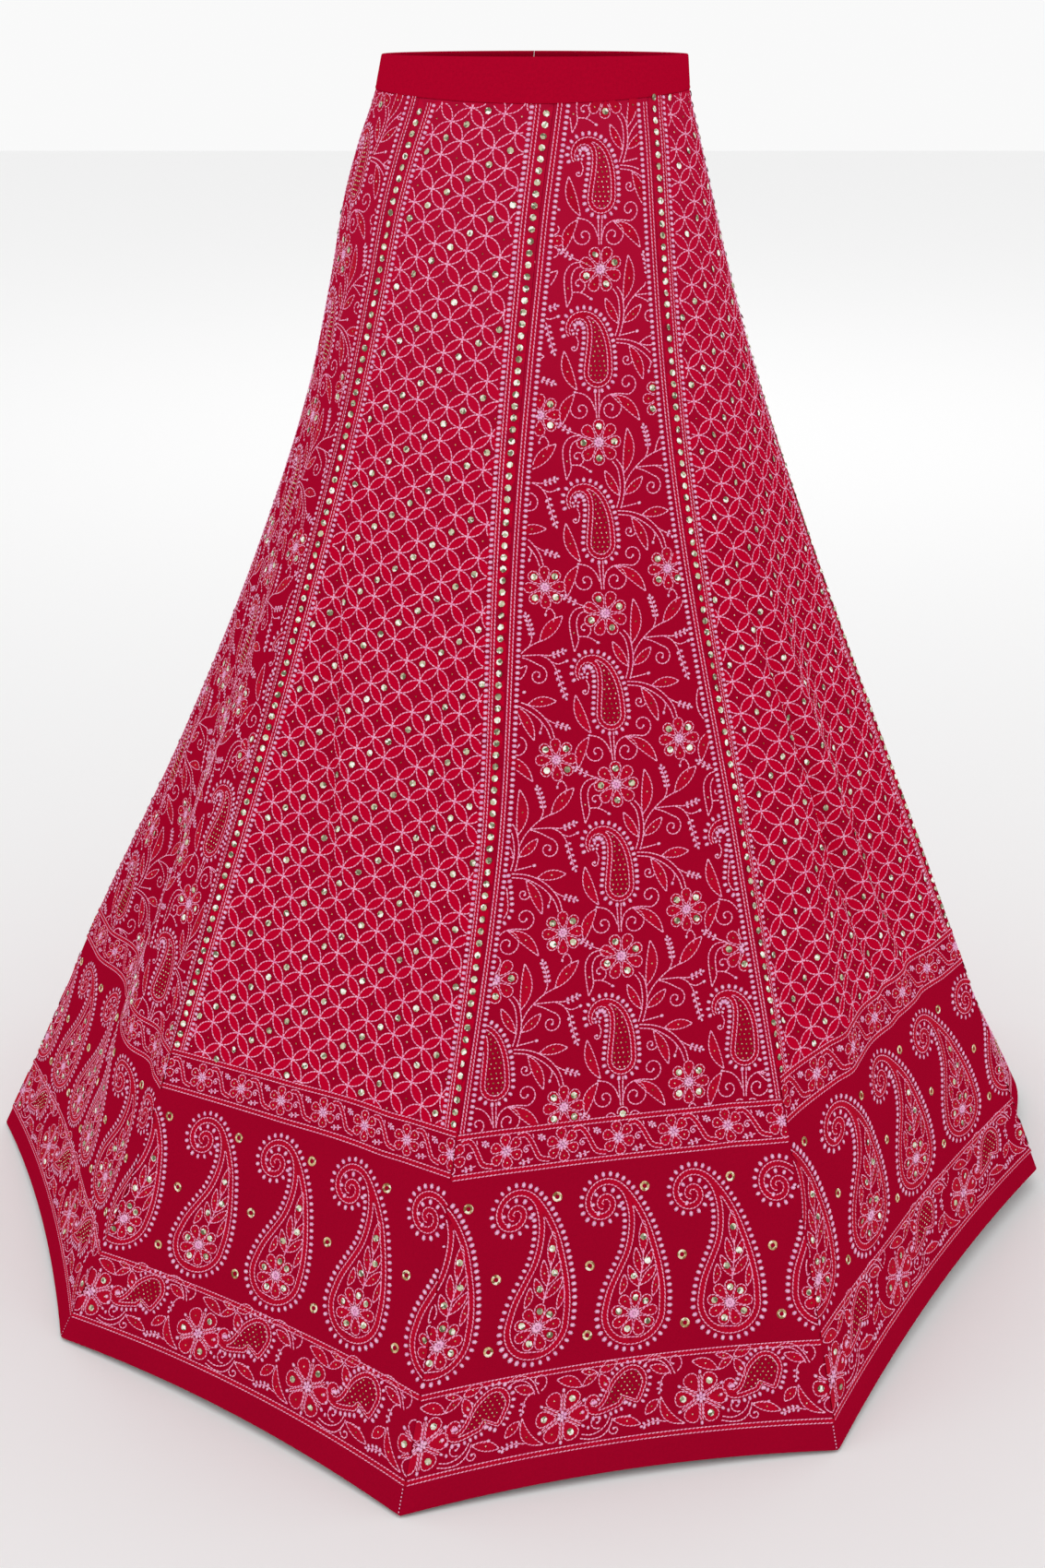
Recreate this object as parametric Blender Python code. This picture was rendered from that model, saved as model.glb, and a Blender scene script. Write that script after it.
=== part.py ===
"""A floor-length lehenga skirt of eight kalis, held up at the waist.

Metres, +Z up, +X to the viewer's right, the front towards -Y. The origin is the centre of the
waistband's top edge, where the wearer holds the skirt. Eight tall panels, the kalis, run from the
waistband to the hem, lattice and floral by turns. Round the waist their faces make one smooth oval;
towards the hem each goes flat, so the hem is an octagon with its corners at the seams.
"""
import math

import bpy
import numpy as np

# Driving sizes of the cut
SKIRT_DROP = 0.985            # top of the waistband down to the hem plane
BAND_DEPTH_FRONT = 0.033      # waistband, at the front
BAND_DEPTH_SIDES = 0.026      # waistband, at the sides and the back
KALI_WALL = 0.0014            # embroidered cloth with its turnings
BAND_WALL = 0.0022            # the band's cloth, folded double
SEAM_GAP = 0.0003             # parting between neighbouring pieces

# How the faces change from the waist's oval to the hem's octagon, as fractions of the drop
FLAT_STARTS = 0.04
FLAT_DONE = 0.72
HOLLOW_STARTS = 0.80          # below this the panels draw in a little between the seams
HEM_HOLLOW = 0.009            # how far they draw in at the hem
HEM_LIFT = 0.004              # how far a panel's hem rises between its corners
FRONT_SWAY = 0.020            # how far the hem's centre swings towards the front

# Mesh density
KALI_COLUMNS = 14
KALI_ROWS = 24
BAND_COLUMNS_PER_KALI = 7
BAND_ROWS = 2
NORMAL_STEP = 0.004           # how far to each side a surface's slope is felt, as a fraction

# Half sizes of the skirt at each drop below the waistband's top, and the sideways shift of its centre
PROFILE_COLUMNS = ("drop", "half_width", "half_depth", "centre_x")
PROFILE = (
    (0.000, 0.120, 0.098, 0.000),
    (0.030, 0.125, 0.104, -0.002),
    (0.065, 0.136, 0.116, -0.004),
    (0.100, 0.146, 0.128, -0.005),
    (0.170, 0.163, 0.147, -0.003),
    (0.250, 0.185, 0.172, 0.000),
    (0.400, 0.239, 0.230, 0.001),
    (0.570, 0.311, 0.304, -0.002),
    (0.745, 0.391, 0.386, -0.009),
    (0.885, 0.451, 0.449, -0.013),
    (0.985, 0.496, 0.498, -0.018),
)

# Where each seam runs: its bearing from the front in degrees, positive to the right, at five drops,
# and at the hem how far it reaches against the profile and how much it is lifted
SEAM_DROPS = (0.030, 0.250, 0.570, 0.745, 0.985)
SEAM_COLUMNS = ("bearings", "hem_reach", "hem_lift")
SEAMS = (
    ((-92.0, -93.0, -94.0, -94.0, -97.5), 1.01, 0.000),
    ((-44.0, -51.0, -49.0, -47.5, -52.5), 0.94, 0.000),
    ((7.5, -3.5, -5.5, -7.2, -9.2), 1.015, 0.000),
    ((45.0, 34.0, 31.0, 30.5, 30.2), 0.99, 0.000),
    ((92.0, 90.0, 84.0, 80.0, 84.5), 0.98, 0.015),
    ((136.0, 134.0, 132.0, 130.0, 126.5), 1.10, 0.000),
    ((180.0, 178.0, 176.0, 174.0, 171.0), 1.02, 0.000),
    ((224.0, 222.0, 221.0, 220.0, 217.0), 1.02, 0.000),
)
REACH_STARTS = 0.55           # fraction of the drop where a seam starts to leave the profile

# The largest folds: which kali, where across it they run at the top and at the hem, how wide they are to
# each side, where down the drop they start, peak and end, and how far they stand out (or lie in)
FOLD_COLUMNS = ("kali", "across_top", "across_hem", "half_width", "start", "peak", "end", "rise")
FOLDS = (
    (1, 0.62, 0.66, 0.20, 0.45, 0.72, 0.95, 0.007),
    (1, 0.34, 0.36, 0.22, 0.48, 0.72, 0.97, -0.014),
    (1, 0.88, 0.84, 0.10, 0.60, 0.80, 1.00, -0.006),
    (2, 0.80, 0.56, 0.20, 0.25, 0.55, 0.90, -0.005),
    (4, 0.20, 0.52, 0.16, 0.45, 0.72, 0.98, -0.007),
    (4, 0.48, 0.84, 0.14, 0.35, 0.68, 0.92, -0.006),
    (5, 0.50, 0.50, 0.45, 0.62, 1.05, 1.60, 0.050),
    (6, 0.46, 0.54, 0.20, 0.40, 0.70, 1.05, -0.009),
    (7, 0.62, 0.40, 0.22, 0.35, 0.66, 0.98, -0.008),
    (7, 0.80, 0.78, 0.16, 0.58, 0.84, 1.20, 0.007),
    (8, 0.40, 0.60, 0.20, 0.42, 0.74, 1.02, -0.010),
)

KALI_STYLES = ("floral", "lattice")
CLOTH_COLOR = (0.52, 0.012, 0.045, 1.0)
BAND_COLOR = (0.56, 0.010, 0.040, 1.0)
CLOTH_ROUGHNESS = 0.78
CREASE_ANGLE = 40.0


def column(rows, columns, name):
    """One named column of a table."""
    place = columns.index(name)
    return np.array([row[place] for row in rows], dtype=float)


def ease(value, start, end):
    """A smooth step from 0 at the start to 1 at the end."""
    part = np.clip((value - start) / (end - start), 0.0, 1.0)
    return part * part * (3.0 - 2.0 * part)


def through(knots, values, at):
    """A smooth curve through a table's points: cubic between knots, slopes from the neighbours."""
    knots = np.asarray(knots, dtype=float)
    values = np.asarray(values, dtype=float)
    slopes = np.gradient(values, knots)
    at = np.clip(at, knots[0], knots[-1])
    cell = np.clip(np.searchsorted(knots, at, side="right") - 1, 0, len(knots) - 2)
    width = knots[cell + 1] - knots[cell]
    part = (at - knots[cell]) / width
    rest = 1.0 - part
    return (values[cell] * rest * rest * (1.0 + 2.0 * part)
            + values[cell + 1] * part * part * (3.0 - 2.0 * part)
            + slopes[cell] * width * part * rest * rest
            - slopes[cell + 1] * width * part * part * rest)


def band_depth(bearing):
    """Depth of the waistband at a bearing: deepest at the front, even from the sides to the back."""
    front = np.clip(np.cos(bearing), 0.0, 1.0) ** 2
    return BAND_DEPTH_SIDES + (BAND_DEPTH_FRONT - BAND_DEPTH_SIDES) * front


def seam_row(index, name):
    """One named value of a seam, counting round past the last seam to the first."""
    return SEAMS[index % len(SEAMS)][SEAM_COLUMNS.index(name)]


def seam_bearing(index, drop):
    """Bearing of a seam in radians at each drop; past the last seam it has gone once round."""
    turns = 360.0 * (index // len(SEAMS))
    degrees = through(SEAM_DROPS, seam_row(index, "bearings"), drop) + turns
    return np.radians(degrees)


def oval_point(bearing, drop, reach):
    """Level point (x, y) of the skirt's oval at a bearing and drop, its half sizes times the reach."""
    drops = column(PROFILE, PROFILE_COLUMNS, "drop")
    half_width = through(drops, column(PROFILE, PROFILE_COLUMNS, "half_width"), drop)
    half_depth = through(drops, column(PROFILE, PROFILE_COLUMNS, "half_depth"), drop)
    centre_x = through(drops, column(PROFILE, PROFILE_COLUMNS, "centre_x"), drop)
    centre_y = -FRONT_SWAY * (drop / SKIRT_DROP) ** 2
    x = centre_x + half_width * reach * np.sin(bearing)
    y = centre_y - half_depth * reach * np.cos(bearing)
    return np.stack([x, y], axis=-1)


def fold_rise(kali, across, down):
    """How far the kali's folds stand out at a place, across from seam to seam and down the drop."""
    rise = np.zeros(np.broadcast(across, down).shape)
    for row in FOLDS:
        fold = dict(zip(FOLD_COLUMNS, row))
        if fold["kali"] != kali:
            continue
        middle = fold["across_top"] + (fold["across_hem"] - fold["across_top"]) * down
        side = np.clip(np.abs(across - middle) / fold["half_width"], 0.0, 1.0)
        ridge = 0.5 + 0.5 * np.cos(math.pi * side)
        length = ease(down, fold["start"], fold["peak"]) * (1.0 - ease(down, fold["peak"], fold["end"]))
        rise = rise + fold["rise"] * ridge * length
    return rise


def kali_points(kali, across, down):
    """Outer points of one kali: across from its left seam to its right one, down from band to hem.

    Each level lies between a straight chord from seam to seam and the oval's arc. The arc holds at
    the waist, the chord near the hem, where the cloth also draws in a little between the corners.
    """
    left, right = kali - 1, kali
    drop = SKIRT_DROP * down
    bearing_left = seam_bearing(left, drop)
    bearing_right = seam_bearing(right, drop)
    leaving = ease(down, REACH_STARTS, 1.0)
    reach_left = 1.0 + (seam_row(left, "hem_reach") - 1.0) * leaving
    reach_right = 1.0 + (seam_row(right, "hem_reach") - 1.0) * leaving
    corner_left = oval_point(bearing_left, drop, reach_left)
    corner_right = oval_point(bearing_right, drop, reach_right)
    share = across[..., None]
    chord = corner_left * (1.0 - share) + corner_right * share
    bearing = bearing_left * (1.0 - across) + bearing_right * across
    arc = oval_point(bearing, drop, reach_left * (1.0 - across) + reach_right * across)
    flat = ease(down, FLAT_STARTS, FLAT_DONE)[..., None]
    place = arc * (1.0 - flat) + chord * flat
    run = corner_right - corner_left
    outward = np.stack([run[..., 1], -run[..., 0]], axis=-1)
    outward = outward / np.linalg.norm(outward, axis=-1, keepdims=True)
    belly = 4.0 * across * (1.0 - across)
    rise = fold_rise(kali, across, down) - HEM_HOLLOW * belly * ease(down, HOLLOW_STARTS, 1.0)
    place = place + outward * rise[..., None]
    lift = seam_row(left, "hem_lift") * (1.0 - across) + seam_row(right, "hem_lift") * across
    lift = (lift + HEM_LIFT * belly) * ease(down, REACH_STARTS, 1.0)
    return np.concatenate([place, (lift - drop)[..., None]], axis=-1)


def face_normals(kali, across, down):
    """Unit normals of one kali's own surface, from small steps to each side."""
    right = kali_points(kali, np.minimum(across + NORMAL_STEP, 1.0), down)
    left = kali_points(kali, np.maximum(across - NORMAL_STEP, 0.0), down)
    below = kali_points(kali, across, np.minimum(down + NORMAL_STEP, 1.0))
    above = kali_points(kali, across, down - NORMAL_STEP)
    normals = np.cross(below - above, right - left)
    return normals / np.linalg.norm(normals, axis=-1, keepdims=True)


def kali_grid():
    """Across and down fractions of a kali's mesh points, rows from the band to the hem."""
    rows = np.linspace(0.0, 1.0, KALI_ROWS + 1)[:, None]
    across = np.broadcast_to(np.linspace(0.0, 1.0, KALI_COLUMNS + 1), (KALI_ROWS + 1, KALI_COLUMNS + 1))
    return rows, across


def kali_wall(kali):
    """Outer and inner points of one kali, its seam edges mitred halfway to its neighbours."""
    rows, across = kali_grid()
    waist_left = seam_bearing(kali - 1, SEAM_DROPS[0])
    waist_right = seam_bearing(kali, SEAM_DROPS[0])
    bearing = waist_left * (1.0 - across[0]) + waist_right * across[0]
    top = (band_depth(bearing) + SEAM_GAP) / SKIRT_DROP
    down = top + (1.0 - top) * rows
    outer = kali_points(kali, across, down)
    own = face_normals(kali, across, down)
    normals = own.copy()
    before = (kali - 2) % len(SEAMS) + 1
    after = kali % len(SEAMS) + 1
    normals[:, 0] += face_normals(before, np.ones(KALI_ROWS + 1), down[:, 0])
    normals[:, -1] += face_normals(after, np.zeros(KALI_ROWS + 1), down[:, -1])
    normals /= np.linalg.norm(normals, axis=-1, keepdims=True)
    mitre = np.sum(normals * own, axis=-1, keepdims=True)
    inner = outer - normals * KALI_WALL / mitre
    for edge, beside in ((0, 1), (-1, -2)):
        inwards = outer[:, beside] - outer[:, edge]
        inwards /= np.linalg.norm(inwards, axis=-1, keepdims=True)
        shift = inwards * (0.5 * SEAM_GAP) / mitre[:, edge]
        outer[:, edge] += shift
        inner[:, edge] += shift
    return outer, inner


def waistband_wall():
    """Outer and inner points of the band, from the back seam once round to the back seam."""
    count = BAND_COLUMNS_PER_KALI * len(SEAMS)
    opening = len(SEAMS) - 2
    place = opening + np.linspace(0.0, len(SEAMS), count + 1)
    left = np.minimum(np.floor(place), opening + len(SEAMS) - 1).astype(int)
    starts = np.array([seam_bearing(index, SEAM_DROPS[0]) for index in left])
    ends = np.array([seam_bearing(index + 1, SEAM_DROPS[0]) for index in left])
    bearing = starts + (ends - starts) * (place - left)
    half_gap = 0.5 * SEAM_GAP / PROFILE[0][PROFILE_COLUMNS.index("half_width")]
    bearing[0] += half_gap
    bearing[-1] -= half_gap
    drop = band_depth(bearing) * np.linspace(0.0, 1.0, BAND_ROWS + 1)[:, None]
    bearing = np.broadcast_to(bearing, drop.shape)
    level = oval_point(bearing, drop, 1.0)
    along = oval_point(bearing + NORMAL_STEP, drop, 1.0) - oval_point(bearing - NORMAL_STEP, drop, 1.0)
    along = np.concatenate([along, np.zeros(drop.shape + (1,))], axis=-1)
    fall = oval_point(bearing, drop + NORMAL_STEP, 1.0) - level
    fall = np.concatenate([fall, np.full(drop.shape + (1,), -NORMAL_STEP)], axis=-1)
    normals = np.cross(fall, along)
    normals /= np.linalg.norm(normals, axis=-1, keepdims=True)
    base = np.concatenate([level, -drop[..., None]], axis=-1)
    return base + normals * (BAND_WALL - KALI_WALL), base - normals * KALI_WALL


def closed_wall_mesh(name, outer, inner):
    """A closed body between an outer and an inner grid of points, with faces round all four edges."""
    rows, columns = outer.shape[:2]
    points = np.concatenate([outer.reshape(-1, 3), inner.reshape(-1, 3)])
    number = np.arange(rows * columns).reshape(rows, columns)
    far = number + rows * columns

    def strip(near, back):
        """Quads from one line of outer points to the same line of inner points."""
        return np.stack([near[:-1], back[:-1], back[1:], near[1:]], axis=-1)

    face = np.stack([number[:-1, :-1], number[1:, :-1], number[1:, 1:], number[:-1, 1:]], axis=-1)
    lining = np.stack([far[:-1, :-1], far[:-1, 1:], far[1:, 1:], far[1:, :-1]], axis=-1)
    quads = np.concatenate([
        face.reshape(-1, 4),
        lining.reshape(-1, 4),
        strip(number[:, 0], far[:, 0]),
        strip(number[::-1, -1], far[::-1, -1]),
        strip(number[-1], far[-1]),
        strip(number[0, ::-1], far[0, ::-1]),
    ])
    mesh = bpy.data.meshes.new(name)
    mesh.from_pydata(points.tolist(), [], quads.tolist())
    mesh.validate()
    mesh.update()
    mesh.shade_smooth()
    mesh.set_sharp_from_angle(angle=math.radians(CREASE_ANGLE))
    return mesh


def cloth_material(name, color):
    """Matt dyed cloth."""
    material = bpy.data.materials.new(name)
    material.use_nodes = True
    shader = material.node_tree.nodes["Principled BSDF"]
    shader.inputs["Base Color"].default_value = color
    shader.inputs["Roughness"].default_value = CLOTH_ROUGHNESS
    shader.inputs["Metallic"].default_value = 0.0
    material.diffuse_color = color
    return material


def add_piece(collection, name, walls, color):
    """One sewn piece as an object with its own material, in the skirt's collection."""
    mesh = closed_wall_mesh(name, *walls)
    mesh.materials.append(cloth_material(name + "_cloth", color))
    piece = bpy.data.objects.new(name, mesh)
    collection.objects.link(piece)
    return piece


def clear_scene():
    """Removes whatever objects the scene starts with."""
    for found in list(bpy.data.objects):
        bpy.data.objects.remove(found, do_unlink=True)


def build_skirt():
    """Waistband and eight kalis, in a collection named for the skirt."""
    collection = bpy.data.collections.new("lehenga_skirt")
    bpy.context.scene.collection.children.link(collection)
    add_piece(collection, "waistband", waistband_wall(), BAND_COLOR)
    for kali in range(1, len(SEAMS) + 1):
        style = KALI_STYLES[(kali - 1) % len(KALI_STYLES)]
        add_piece(collection, f"kali_{kali}_{style}", kali_wall(kali), CLOTH_COLOR)
    return collection


clear_scene()
build_skirt()
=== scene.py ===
"""A worn kalidar lehenga skirt: its cloth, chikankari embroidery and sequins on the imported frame.

The skirt's form is in metres, +Z up, the front towards -Y. Embroidery is drawn flat in millimetres as
complex numbers, x across a kali and y up its slant from the hem, and then laid on the kali's face.
"""
import logging
import math
from dataclasses import dataclass, field
from enum import Enum

import bpy
import numpy as np
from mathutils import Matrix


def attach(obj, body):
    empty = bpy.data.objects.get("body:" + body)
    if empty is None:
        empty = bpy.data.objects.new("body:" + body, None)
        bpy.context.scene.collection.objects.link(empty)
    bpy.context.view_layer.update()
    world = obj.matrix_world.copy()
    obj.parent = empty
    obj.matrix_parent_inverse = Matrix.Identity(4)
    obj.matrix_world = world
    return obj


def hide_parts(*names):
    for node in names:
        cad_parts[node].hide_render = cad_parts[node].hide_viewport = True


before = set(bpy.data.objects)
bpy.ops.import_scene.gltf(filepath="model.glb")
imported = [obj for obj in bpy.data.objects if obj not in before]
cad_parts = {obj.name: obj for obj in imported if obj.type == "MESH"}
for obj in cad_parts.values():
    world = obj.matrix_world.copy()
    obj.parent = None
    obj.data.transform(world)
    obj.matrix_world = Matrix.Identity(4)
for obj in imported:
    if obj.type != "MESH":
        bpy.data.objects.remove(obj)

LOG = logging.getLogger("lehenga")
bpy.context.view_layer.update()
MM = 0.001


class Style(Enum):
    """What a kali's body is embroidered with."""

    FLORAL = "floral"
    LATTICE = "lattice"


class Zone(Enum):
    """Where on a kali a drawing is laid."""

    BODY = "body"
    STRIP = "strip"
    BAND = "band"


def ease(value: np.ndarray, start: float, end: float) -> np.ndarray:
    """A smooth step from 0 at the start to 1 at the end: 3t^2 - 2t^3."""
    part = np.clip((value - start) / (end - start), 0.0, 1.0)
    return part * part * (3.0 - 2.0 * part)


def through(knots: np.ndarray, values: np.ndarray, at: np.ndarray) -> np.ndarray:
    """A smooth curve through a table's points: cubic between knots, slopes from the neighbours.

    Args:
        knots: rising places of the points.
        values: the curve's values there, real or complex.
        at: where the curve is wanted, held within the table.

    Returns:
        The curve's values.
    """
    knots = np.asarray(knots, dtype=float)
    values = np.asarray(values)
    slopes = np.gradient(values, knots)
    at = np.clip(at, knots[0], knots[-1])
    cell = np.clip(np.searchsorted(knots, at, side="right") - 1, 0, len(knots) - 2)
    width = knots[cell + 1] - knots[cell]
    part = (at - knots[cell]) / width
    rest = 1.0 - part
    return (values[cell] * rest * rest * (1.0 + 2.0 * part)
            + values[cell + 1] * part * part * (3.0 - 2.0 * part)
            + slopes[cell] * width * part * rest * rest
            - slopes[cell + 1] * width * part * part * rest)


def unit(vectors: np.ndarray) -> np.ndarray:
    """Vectors made one long, along their last axis."""
    return vectors / np.maximum(np.linalg.norm(vectors, axis=-1, keepdims=True), 1e-12)


@dataclass(frozen=True)
class SkirtForm:
    """The hanging form that every kali and the waistband share, in metres and degrees."""

    drop: float = 0.985
    band_front: float = 0.033
    band_sides: float = 0.026
    band_wall: float = 0.0022
    wall: float = 0.0014
    seam_gap: float = 0.0003
    flat_starts: float = 0.04
    flat_done: float = 0.72
    hollow_starts: float = 0.80
    hem_hollow: float = 0.009
    hem_lift: float = 0.004
    front_sway: float = 0.020
    reach_starts: float = 0.55
    profile: tuple = (
        # drop, half width, half depth, centre x
        (0.000, 0.120, 0.098, 0.000),
        (0.030, 0.125, 0.104, -0.002),
        (0.065, 0.136, 0.116, -0.004),
        (0.100, 0.146, 0.128, -0.005),
        (0.170, 0.163, 0.147, -0.003),
        (0.250, 0.185, 0.172, 0.000),
        (0.400, 0.239, 0.230, 0.001),
        (0.570, 0.311, 0.304, -0.002),
        (0.745, 0.391, 0.386, -0.009),
        (0.885, 0.451, 0.449, -0.013),
        (0.985, 0.496, 0.498, -0.018),
    )
    seam_drops: tuple = (0.030, 0.250, 0.570, 0.745, 0.985)
    seams: tuple = (
        # bearings from the front at the seam drops, reach at the hem, lift at the hem
        ((-92.0, -93.0, -94.0, -94.0, -97.5), 1.01, 0.000),
        ((-44.0, -51.0, -49.0, -47.5, -52.5), 0.94, 0.000),
        ((7.5, -3.5, -5.5, -7.2, -9.2), 1.015, 0.000),
        ((45.0, 34.0, 31.0, 30.5, 30.2), 0.99, 0.000),
        ((92.0, 90.0, 84.0, 80.0, 84.5), 0.98, 0.015),
        ((136.0, 134.0, 132.0, 130.0, 126.5), 1.10, 0.000),
        ((180.0, 178.0, 176.0, 174.0, 171.0), 1.02, 0.000),
        ((224.0, 222.0, 221.0, 220.0, 217.0), 1.02, 0.000),
    )
    folds: tuple = (
        # kali, across at the top and at the hem, half width, start, peak, end, rise
        (1, 0.62, 0.66, 0.20, 0.45, 0.72, 0.95, 0.007),
        (1, 0.34, 0.36, 0.22, 0.48, 0.72, 0.97, -0.014),
        (1, 0.88, 0.84, 0.10, 0.60, 0.80, 1.00, -0.006),
        (2, 0.80, 0.56, 0.20, 0.25, 0.55, 0.90, -0.005),
        (4, 0.20, 0.52, 0.16, 0.45, 0.72, 0.98, -0.007),
        (4, 0.48, 0.84, 0.14, 0.35, 0.68, 0.92, -0.006),
        (5, 0.50, 0.50, 0.45, 0.62, 1.05, 1.60, 0.050),
        (6, 0.46, 0.54, 0.20, 0.40, 0.70, 1.05, -0.009),
        (7, 0.62, 0.40, 0.22, 0.35, 0.66, 0.98, -0.008),
        (7, 0.80, 0.78, 0.16, 0.58, 0.84, 1.20, 0.007),
        (8, 0.40, 0.60, 0.20, 0.42, 0.74, 1.02, -0.010),
    )
    creases: tuple = (
        # the same columns: soft narrow creases between the large folds
        (1, 0.77, 0.76, 0.24, 0.26, 0.62, 0.99, 0.0120),
        (1, 0.50, 0.50, 0.07, 0.50, 0.74, 0.94, -0.0040),
        (1, 0.24, 0.20, 0.08, 0.40, 0.62, 0.90, 0.0026),
        (2, -0.20, 0.775, 0.055, 0.28, 0.50, 0.74, -0.0060),
        (2, -0.11, 0.865, 0.050, 0.34, 0.52, 0.70, 0.0022),
        (2, 0.88, 0.74, 0.08, 0.40, 0.66, 0.88, 0.0018),
        (3, 0.75, 0.86, 0.09, 0.45, 0.66, 0.92, -0.0018),
        (3, 0.30, 0.22, 0.11, 0.35, 0.60, 0.86, 0.0012),
        (4, 0.30, 0.38, 0.34, 0.22, 0.58, 0.98, 0.0140),
        (4, -0.09, 0.81, 0.065, 0.28, 0.60, 0.84, -0.0110),
        (4, 0.02, 0.92, 0.065, 0.34, 0.62, 0.86, 0.0060),
        (4, 0.10, 0.34, 0.06, 0.50, 0.74, 0.96, 0.0020),
        (5, 0.30, 0.24, 0.08, 0.45, 0.70, 1.00, -0.0030),
        (5, 0.72, 0.78, 0.09, 0.50, 0.76, 1.10, -0.0026),
        (6, 0.24, 0.36, 0.08, 0.30, 0.58, 0.90, 0.0022),
        (6, 0.74, 0.70, 0.08, 0.50, 0.80, 1.06, 0.0024),
        (7, 0.36, 0.22, 0.08, 0.45, 0.74, 1.04, 0.0022),
        (8, 0.62, 0.80, 0.08, 0.40, 0.70, 0.98, 0.0024),
        (8, 0.20, 0.38, 0.07, 0.50, 0.78, 1.04, 0.0018),
    )

    @property
    def kalis(self) -> int:
        """How many kalis go round."""
        return len(self.seams)

    def band_depth(self, bearing: np.ndarray) -> np.ndarray:
        """Waistband depth: the sides' depth, deeper by the square of the bearing's cosine in front."""
        front = np.clip(np.cos(bearing), 0.0, 1.0) ** 2
        return self.band_sides + (self.band_front - self.band_sides) * front

    def seam_bearing(self, index: int, drop: np.ndarray) -> np.ndarray:
        """Bearing of a seam in radians at each drop, one turn more past the last seam."""
        turns = 360.0 * (index // self.kalis)
        return np.radians(through(self.seam_drops, self.seams[index % self.kalis][0], drop) + turns)

    def oval_point(self, bearing: np.ndarray, drop: np.ndarray, reach: np.ndarray) -> np.ndarray:
        """Level point of the oval: its centre plus the half sizes times sine and cosine of the bearing."""
        drops, half_width, half_depth, centre_x = np.array(self.profile).T
        x = through(drops, centre_x, drop) + through(drops, half_width, drop) * reach * np.sin(bearing)
        y = -self.front_sway * (drop / self.drop) ** 2
        return np.stack([x, y - through(drops, half_depth, drop) * reach * np.cos(bearing)], axis=-1)

    def fold_rise(self, kali: int, across: np.ndarray, down: np.ndarray) -> np.ndarray:
        """Sum of the kali's folds and creases: a raised cosine across, easing in and out down the drop."""
        rise = np.zeros(np.broadcast(across, down).shape)
        for owner, top, hem, half, start, peak, end, height in self.folds + self.creases:
            if owner != kali:
                continue
            side = np.clip(np.abs(across - top - (hem - top) * down) / half, 0.0, 1.0)
            length = ease(down, start, peak) * (1.0 - ease(down, peak, end))
            rise = rise + height * (0.5 + 0.5 * np.cos(math.pi * side)) * length
        return rise

    def points(self, kali: int, across: np.ndarray, down: np.ndarray) -> np.ndarray:
        """Outer points of one kali: an arc of the oval that goes over to a chord down the drop.

        Args:
            kali: its number, from 1.
            across: fraction from its left seam to its right one.
            down: fraction of the drop.

        Returns:
            Points in metres, with the folds moved out and the hem drawn in between its corners.
        """
        drop = self.drop * down
        leaving = ease(down, self.reach_starts, 1.0)
        bearings, reaches, corners, lifts = [], [], [], []
        for index in (kali - 1, kali):
            hem_reach, hem_lift = self.seams[index % self.kalis][1:]
            bearings.append(self.seam_bearing(index, drop))
            reaches.append(1.0 + (hem_reach - 1.0) * leaving)
            corners.append(self.oval_point(bearings[-1], drop, reaches[-1]))
            lifts.append(hem_lift)
        share = across[..., None]
        chord = corners[0] * (1.0 - share) + corners[1] * share
        bearing = bearings[0] * (1.0 - across) + bearings[1] * across
        arc = self.oval_point(bearing, drop, reaches[0] * (1.0 - across) + reaches[1] * across)
        flat = ease(down, self.flat_starts, self.flat_done)[..., None]
        run = corners[1] - corners[0]
        outward = unit(np.stack([run[..., 1], -run[..., 0]], axis=-1))
        belly = 4.0 * across * (1.0 - across)
        hollow = self.hem_hollow * belly * ease(down, self.hollow_starts, 1.0)
        rise = self.fold_rise(kali, across, down) - hollow
        place = arc * (1.0 - flat) + chord * flat + outward * rise[..., None]
        lift = lifts[0] * (1.0 - across) + lifts[1] * across + self.hem_lift * belly
        return np.concatenate([place, (lift * leaving - drop)[..., None]], axis=-1)


def smooth(points: list[complex], step: float = 0.8) -> np.ndarray:
    """A curve through given points, read about every step millimetres."""
    points = np.array(points, dtype=complex)
    if len(points) == 2:
        return np.linspace(points[0], points[1], 9)
    at = np.concatenate([[0.0], np.cumsum(np.abs(np.diff(points)))])
    return through(at, points, np.linspace(0.0, at[-1], max(int(at[-1] / step), 6)))


def bow(start: complex, end: complex, bulge: float) -> np.ndarray:
    """A parabola from start to end, standing out to the left of the way by the bulge."""
    part = np.linspace(0.0, 1.0, 21)
    side = 1j * (end - start) / abs(end - start)
    return start + (end - start) * part + side * bulge * 4.0 * part * (1.0 - part)


def beside(line: np.ndarray, gap: float) -> np.ndarray:
    """The line moved by the gap to its left."""
    along = np.gradient(line)
    return line + 1j * along / np.maximum(np.abs(along), 1e-9) * gap


def ribbon(one: np.ndarray, other: np.ndarray, run: float = 13.0) -> np.ndarray:
    """Patches of twelve points, about a run long, that fill the room between two lines."""
    at = np.concatenate([[0.0], np.cumsum(np.abs(np.diff(one)))])
    count = max(int(round(at[-1] / run)), 1)
    wanted = (np.arange(count)[:, None] + np.linspace(0.0, 1.0, 6)) * at[-1] / count
    near, far = (np.interp(wanted, at, line.real) + 1j * np.interp(wanted, at, line.imag)
                 for line in (one, other))
    return np.concatenate([near, far[:, ::-1]], axis=1)


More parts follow.
